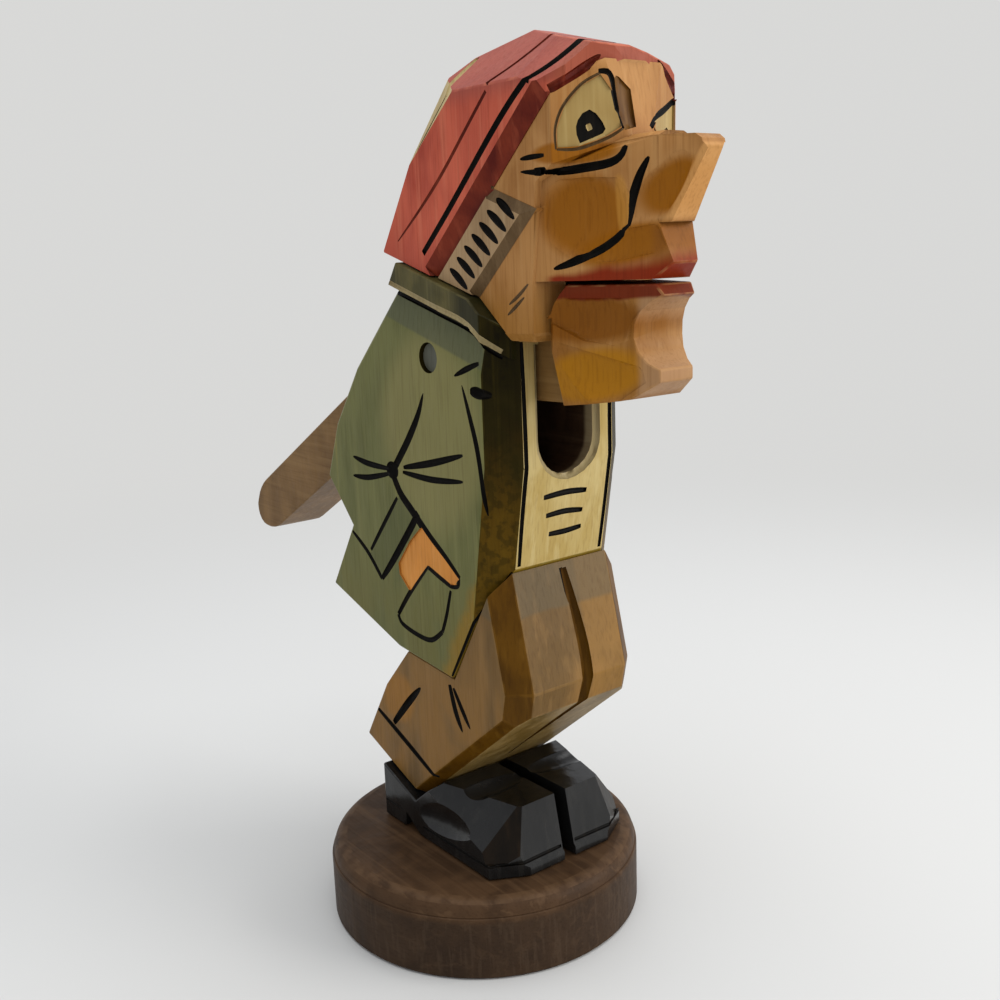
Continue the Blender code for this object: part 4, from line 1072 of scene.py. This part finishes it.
# %% Sink the eyes and cut the face's lines
NEAR_EYE = [(9.9, 213.4), (14.0, 211.0), (17.6, 206.6), (19.2, 201.9), (19.2, 197.6), (14.7, 197.8), (8.8, 200.0),
            (5.6, 202.0), (6.0, 205.2), (7.2, 209.4)]
FAR_EYE = [(19.4, 208.8), (19.3, 203.0), (19.2, 197.6), (14.7, 197.8), (8.8, 200.0), (5.6, 202.0), (6.5, 203.9),
           (12.7, 206.2)]
NEAR_PUPIL = [(14.5, 203.6), (13.5, 205.1), (12.0, 205.9), (10.6, 205.0), (9.3, 203.2), (8.6, 201.6), (9.2, 200.6),
              (11.2, 199.7), (14.1, 198.5), (14.8, 200.4), (14.9, 202.2)]
FAR_PUPIL = [(16.9, 200.4), (16.4, 202.0), (15.0, 202.9), (13.4, 202.3), (12.3, 200.8), (12.4, 199.3), (14.6, 198.6),
             (16.5, 198.7)]
NEAR_LID = [((10.4, 214.2), (7.9, 213.6), (6.6, 209.4), (5.8, 205.2), (5.0, 201.6)), 1.7, (0.5, 0.4)]
FAR_LID = [((3.4, 202.0), (6.5, 204.5), (12.7, 206.7), (18.0, 208.8), (20.2, 209.4)), 2.3, (0.5, 0.7)]
NEAR_RIM = [((9.9, 213.8), (14.0, 211.4), (17.9, 206.7), (19.6, 201.9), (19.5, 197.2)), 0.7, (0.8, 0.6)]
FAR_RIM = [((19.8, 208.6), (19.8, 203.0), (19.5, 197.2)), 0.7, (0.8, 0.6)]
LOWER_LID = [((19.3, 197.2), (14.7, 197.3), (8.4, 199.6), (4.8, 201.9)), 0.8, (0.6, 0.6)]
GLINT = [((11.6, 201.2), (11.9, 202.0), (12.2, 202.9)), 1.7, (0.7, 0.7)]
EYES = [(-1, NEAR_EYE, NEAR_PUPIL, NEAR_RIM, NEAR_LID), (1, FAR_EYE, FAR_PUPIL, FAR_RIM, FAR_LID)]
for side, white, pupil, rim, lid in EYES:
    sink_panel(head, FRONT, white, 0.45, EYE, sides=(side,))
    sink_panel(head, FRONT, pupil, 0.30, BLACK, sides=(side,), rise=0.3)
    cut_lines(head, FRONT, [rim, LOWER_LID], BROWN_LINE, sides=(side,))
    cut_lines(head, FRONT, [lid], BLACK, sides=(side,))
cut_lines(head, FRONT, [GLINT], CREAM, sides=(-1,), sink=-0.5)
FACE_LINES = [
    [((-46.6, 193.0), (-52.0, 192.6), (-57.2, 192.6), (-61.5, 193.0), (-66.8, 193.7), (-69.4, 195.1), (-70.6, 197.4)),
     2.1, (0.15, 0.5)],
    [((-51.6, 192.7), (-54.4, 192.6), (-57.6, 192.6)), 2.0, (0.8, 0.8)],
    [((-46.5, 195.9), (-50.5, 196.1), (-55.3, 196.2)), 1.3, (0.15, 0.5)],
    [((-75.4, 194.6), (-73.6, 191.0), (-72.1, 186.4), (-71.2, 182.3), (-70.6, 179.6)), 2.3, (0.25, 0.7)],
    [((-70.6, 180.0), (-67.7, 177.0), (-63.0, 173.8), (-58.1, 171.5), (-54.2, 170.2)), 2.3, (0.75, 0.2)],
]
cut_lines(head, SIDE, FACE_LINES, BLACK)
CREASE_STEP = [((19.6, 192.8), (18.2, 192.7), (16.0, 192.7)), 1.9, (0.8, 0.8)]
cut_lines(head, FRONT, [CREASE_STEP], BLACK)
TEMPLE_LINES = [
    [((-40.6, 161.7), (-44.5, 164.0), (-48.3, 166.8)), 1.0, (0.2, 0.3)],
    [((-39.9, 159.1), (-43.0, 161.1), (-46.6, 163.6)), 1.0, (0.2, 0.3)],
]
cut_lines(head, SIDE, TEMPLE_LINES, BROWN_LINE)

# %% Cut the cap's folds and the sideburns' strokes
CAP_LINE = [((-7.8, 174.6), (-21.0, 186.1), (-37.6, 201.3), (-46.2, 208.6), (-52.8, 213.4)), 1.9, (0.9, 0.9)]
CAP_FOLD = [((4.0, 178.0), (-7.7, 186.3), (-18.1, 194.5), (-29.1, 204.6), (-37.4, 212.2)), 1.1, (0.3, 0.9)]
CAP_LINE_TOP = [((22.9, -52.6), (19.5, -55.2), (15.0, -57.4), (8.0, -59.2), (-0.1, -59.8)), 2.3, (0.8, 0.9)]
CAP_FOLD_TOP = [((22.9, -37.6), (18.0, -42.8), (12.0, -46.6), (6.0, -48.6), (-0.1, -49.4)), 1.6, (0.9, 0.9)]
BRIM_LINE = [((20.6, 210.4), (14.5, 214.2), (9.2, 217.8)), 2.4, (0.9, 0.1)]
BACK_LINE = [((-19.4, 213.0), (-12.6, 206.2), (-7.2, 201.0)), 0.8, (0.9, 0.4)]
ROOF_EDGE = [((22.0, -19.8), (17.5, -20.4), (12.8, -21.4)), 2.8, (0.9, 0.6)]
ROOF_LINE = [((21.4, -20.4), (17.0, -21.0), (12.6, -21.8)), 0.8, (0.9, 0.6)]
cut_lines(head, TOP, [ROOF_EDGE], CREAM, sink=-0.4)
cut_lines(head, TOP, [ROOF_LINE], BLACK)
cut_lines(head, SIDE, [CAP_LINE, BACK_LINE], BLACK)
cut_lines(head, TOP, [CAP_LINE_TOP], BLACK)
cut_lines(head, SIDE, [CAP_FOLD], CAP_DARK)
cut_lines(head, FRONT, [BRIM_LINE], CAP_DARK)
cut_lines(head, TOP, [CAP_FOLD_TOP], CAP_DARK)
CAP_FOLD_BACK = [((6.5, 214.0), (8.0, 204.0), (7.0, 192.0), (9.5, 178.0)), 1.5, (0.2, 0.6)]
cut_lines(head, BACK, [CAP_FOLD_BACK], CAP_DARK)

STROKES = 7
FIRST_STROKE, LAST_STROKE = Vector((-38.2, 187.4)), Vector((-18.2, 170.6))
STROKE_REACH = Vector((-7.4, -5.2))
strokes = []
for number in range(STROKES):
    start = FIRST_STROKE.lerp(LAST_STROKE, number / (STROKES - 1))
    strokes.append([(start, start + STROKE_REACH * 0.5 + Vector((0.1, 0.3)), start + STROKE_REACH), 2.3, (0.1, 0.1)])
cut_lines(head, SIDE, strokes, BLACK)
finished(head, "figure", "head", slot="face_ochre")

# %% [markdown]
# ## The lever and its jaw
#
# The lever is one stick. Its front end is carved as the lower jaw, with a red lip and two long hollows on
# each side; the rest is plain brown.

# %% Carve the lever
def jaw_shade(finish, colour, cloud):
    """The lower lip's red along the top of the jaw, deep ochre painted shade under the upper lip, warmer ochre lower
    down, and a painted pale sheen on the jaw's front.
    """
    _, back, height = finish.axes()
    red = finish.between(height + (cloud - 0.5) * 0.003, 0.1856, 0.1866)
    # Painted shade: deep ochre on the jaw's side under the upper lip.
    upper = oval(finish, back, height, (-60.0, 158.4), (15.0, 6.4))
    colour = finish.mix(upper * 0.9, colour, paint(0.205, 0.066, 0.003))
    lower = oval(finish, back, height, (-61.0, 144.6), (15.5, 7.0), math.radians(-12))
    colour = finish.mix(lower * 0.9, colour, paint(0.390, 0.160, 0.005))
    # Painted sheen: the jaw's front is paler and pinker.
    front = finish.between(back * -1.0 + (cloud - 0.5) * 0.003, 0.0712, 0.0740)
    colour = finish.mix(front * 0.6, colour, paint(0.420, 0.250, 0.135))
    return finish.mix(red * 0.95, colour, paint(0.140, 0.015, 0.003))


JAW_SKIN = stained("jaw_tan", paint(0.270, 0.110, 0.020), paint(0.360, 0.170, 0.045), paint(0.430, 0.230, 0.085),
                   shine=0.08, tint=jaw_shade)
LEVER = stained("lever_brown_stain", paint(0.140, 0.072, 0.020), paint(0.200, 0.108, 0.034),
                paint(0.250, 0.145, 0.052), grain=ALONG_Y, turn=(math.radians(30), 0.0, 0.0))
lever = copied("jaw_lever", "jaw_lever_carved")
painted(lever, lambda place, out: 0 if place.y < -49.0 else 1, JAW_SKIN, LEVER)
JAW_UPPER = [(-51.4, 163.2), (-75.4, 163.2), (-71.4, 157.6), (-70.6, 151.6), (-60.0, 153.0), (-51.6, 157.4)]
JAW_LOWER = [(-51.0, 153.6), (-59.6, 151.0), (-73.6, 147.0), (-74.4, 143.4), (-68.0, 138.6), (-52.0, 138.0)]
scoop(lever, SIDE, (-62.4, 158.0), (-70.0, 158.0), 27.0, 13.0, 1.7, JAW_SKIN, within=JAW_UPPER)
scoop(lever, SIDE, (-61.6, 145.6), (-70.0, 143.6), 30.0, 14.0, 1.7, JAW_SKIN, within=JAW_LOWER)
JAW_CORNER = [(-50.0, 156.0), (-50.0, 167.5), (-56.4, 167.5), (-54.6, 164.4), (-52.6, 161.4), (-51.3, 158.6)]
for side in (-1, 1):
    carved(lever, drawn_block(SIDE, JAW_CORNER, side, JAW_SKIN, inside=10.0))
chamfered(lever, (-50.8, 137.0), (-50.8, 158.0), (-60.0, 150.0), 17.5, 3.2, 1.8, JAW_SKIN)
rub_soft(lever)
finished(lever, "lever", "jaw_lever", slot="lever_brown")

# %% [markdown]
# ## Pins, dowels and screws
#
# These solids already have the right shape, so they only get a finish: grey-green on the pivot's end,
# bare beech on the dowels inside, zinc on the screws under the base.

# %% Finish the small parts
PIN = stained("pin_grey", paint(0.070, 0.072, 0.052), paint(0.098, 0.100, 0.076), paint(0.130, 0.132, 0.105))
BEECH = stained("bare_beech", paint(0.400, 0.260, 0.140), paint(0.520, 0.370, 0.210), paint(0.600, 0.450, 0.280),
                gloss=0.60)


def zinc():
    """Screw steel with a dull zinc skin."""
    finish = Finish("screw_zinc")
    cloud = finish.noise(900.0, 3.0)
    tone = finish.mix(finish.between(cloud, 0.35, 0.65), paint(0.46, 0.46, 0.45), paint(0.62, 0.61, 0.58))
    finish.feed(finish.shader.inputs["Base Color"], tone)
    finish.feed(finish.shader.inputs["Roughness"], cloud * 0.2 + 0.26)
    finish.shader.inputs["Metallic"].default_value = 1.0
    return finish.material


ZINC = zinc()
for name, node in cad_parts.items():
    for word, colour in (("dowel", BEECH), ("screw", ZINC)):
        if word in name:
            node.data.materials.clear()
            node.data.materials.append(PIN if name == "pivot_dowel" else colour)
print("small parts finished")

# %% [markdown]
# ## Floor and light
#
# The photo was taken on a pale sheet under soft light from the right and above. The floor is a plain disc
# that fades into the background, and the background colour is seen by the camera only, so that it adds no
# light of its own.

# %% Lay the floor
FLOOR_RADIUS = 3.0
BACKDROP = paint(0.69, 0.69, 0.68)


def pale_floor():
    finish = Finish("pale_floor")
    x, y, _ = finish.axes()
    reach = finish.node("ShaderNodeMath", {"operation": "SQRT"}, {0: x * x + y * y})
    far = finish.between(reach, 0.18, 0.75)
    finish.shader.inputs["Base Color"].default_value = paint(0.62, 0.62, 0.61)
    finish.shader.inputs["Roughness"].default_value = 0.75
    glow = finish.tree.nodes.new("ShaderNodeEmission")
    glow.inputs["Color"].default_value = BACKDROP
    blend = finish.tree.nodes.new("ShaderNodeMixShader")
    finish.feed(blend.inputs[0], far)
    finish.tree.links.new(finish.shader.outputs[0], blend.inputs[1])
    finish.tree.links.new(glow.outputs[0], blend.inputs[2])
    finish.tree.links.new(blend.outputs[0], finish.tree.nodes["Material Output"].inputs["Surface"])
    return finish.material


disc = bmesh.new()
bmesh.ops.create_circle(disc, cap_ends=True, segments=128, radius=FLOOR_RADIUS)
floor_mesh = closed(disc, bpy.data.meshes.new("floor"))
floor_mesh.materials.append(pale_floor())
floor = placed("floor", floor_mesh)

# %% Set the light
def soft_lamp(name, place, aim, size, power, colour=(1.0, 1.0, 1.0)):
    lamp = bpy.data.lights.new(name, "AREA")
    lamp.shape = "SQUARE"
    lamp.size = size
    lamp.energy = power
    lamp.color = colour
    item = placed(name, lamp)
    item.location = place
    item.rotation_euler = (Vector(aim) - Vector(place)).to_track_quat("-Z", "Y").to_euler()


MIDDLE = (0.0, 0.0, 0.13)
soft_lamp("window_right", (0.75, -0.95, 0.50), MIDDLE, 0.8, 10.5, (1.0, 0.98, 0.95))
soft_lamp("ceiling", (0.10, -0.05, 1.20), MIDDLE, 1.1, 7.8)

world = bpy.data.worlds.new("pale_room")
bpy.context.scene.world = world
world.use_nodes = True
sky = world.node_tree
room = sky.nodes["Background"]
room.inputs["Color"].default_value = paint(0.95, 0.97, 1.0)
room.inputs["Strength"].default_value = 0.72
seen = sky.nodes.new("ShaderNodeBackground")
seen.inputs["Color"].default_value = BACKDROP
rays = sky.nodes.new("ShaderNodeLightPath")
blend = sky.nodes.new("ShaderNodeMixShader")
sky.links.new(rays.outputs["Is Camera Ray"], blend.inputs[0])
sky.links.new(room.outputs[0], blend.inputs[1])
sky.links.new(seen.outputs[0], blend.inputs[2])
sky.links.new(blend.outputs[0], sky.nodes["World Output"].inputs["Surface"])
bpy.context.scene.view_settings.view_transform = "Standard"
print("light set")

# %% [markdown]
# ## The finished pieces
#
# Each finished piece's face count is printed.

# %% Print the pieces
print("pieces:", PIECES)
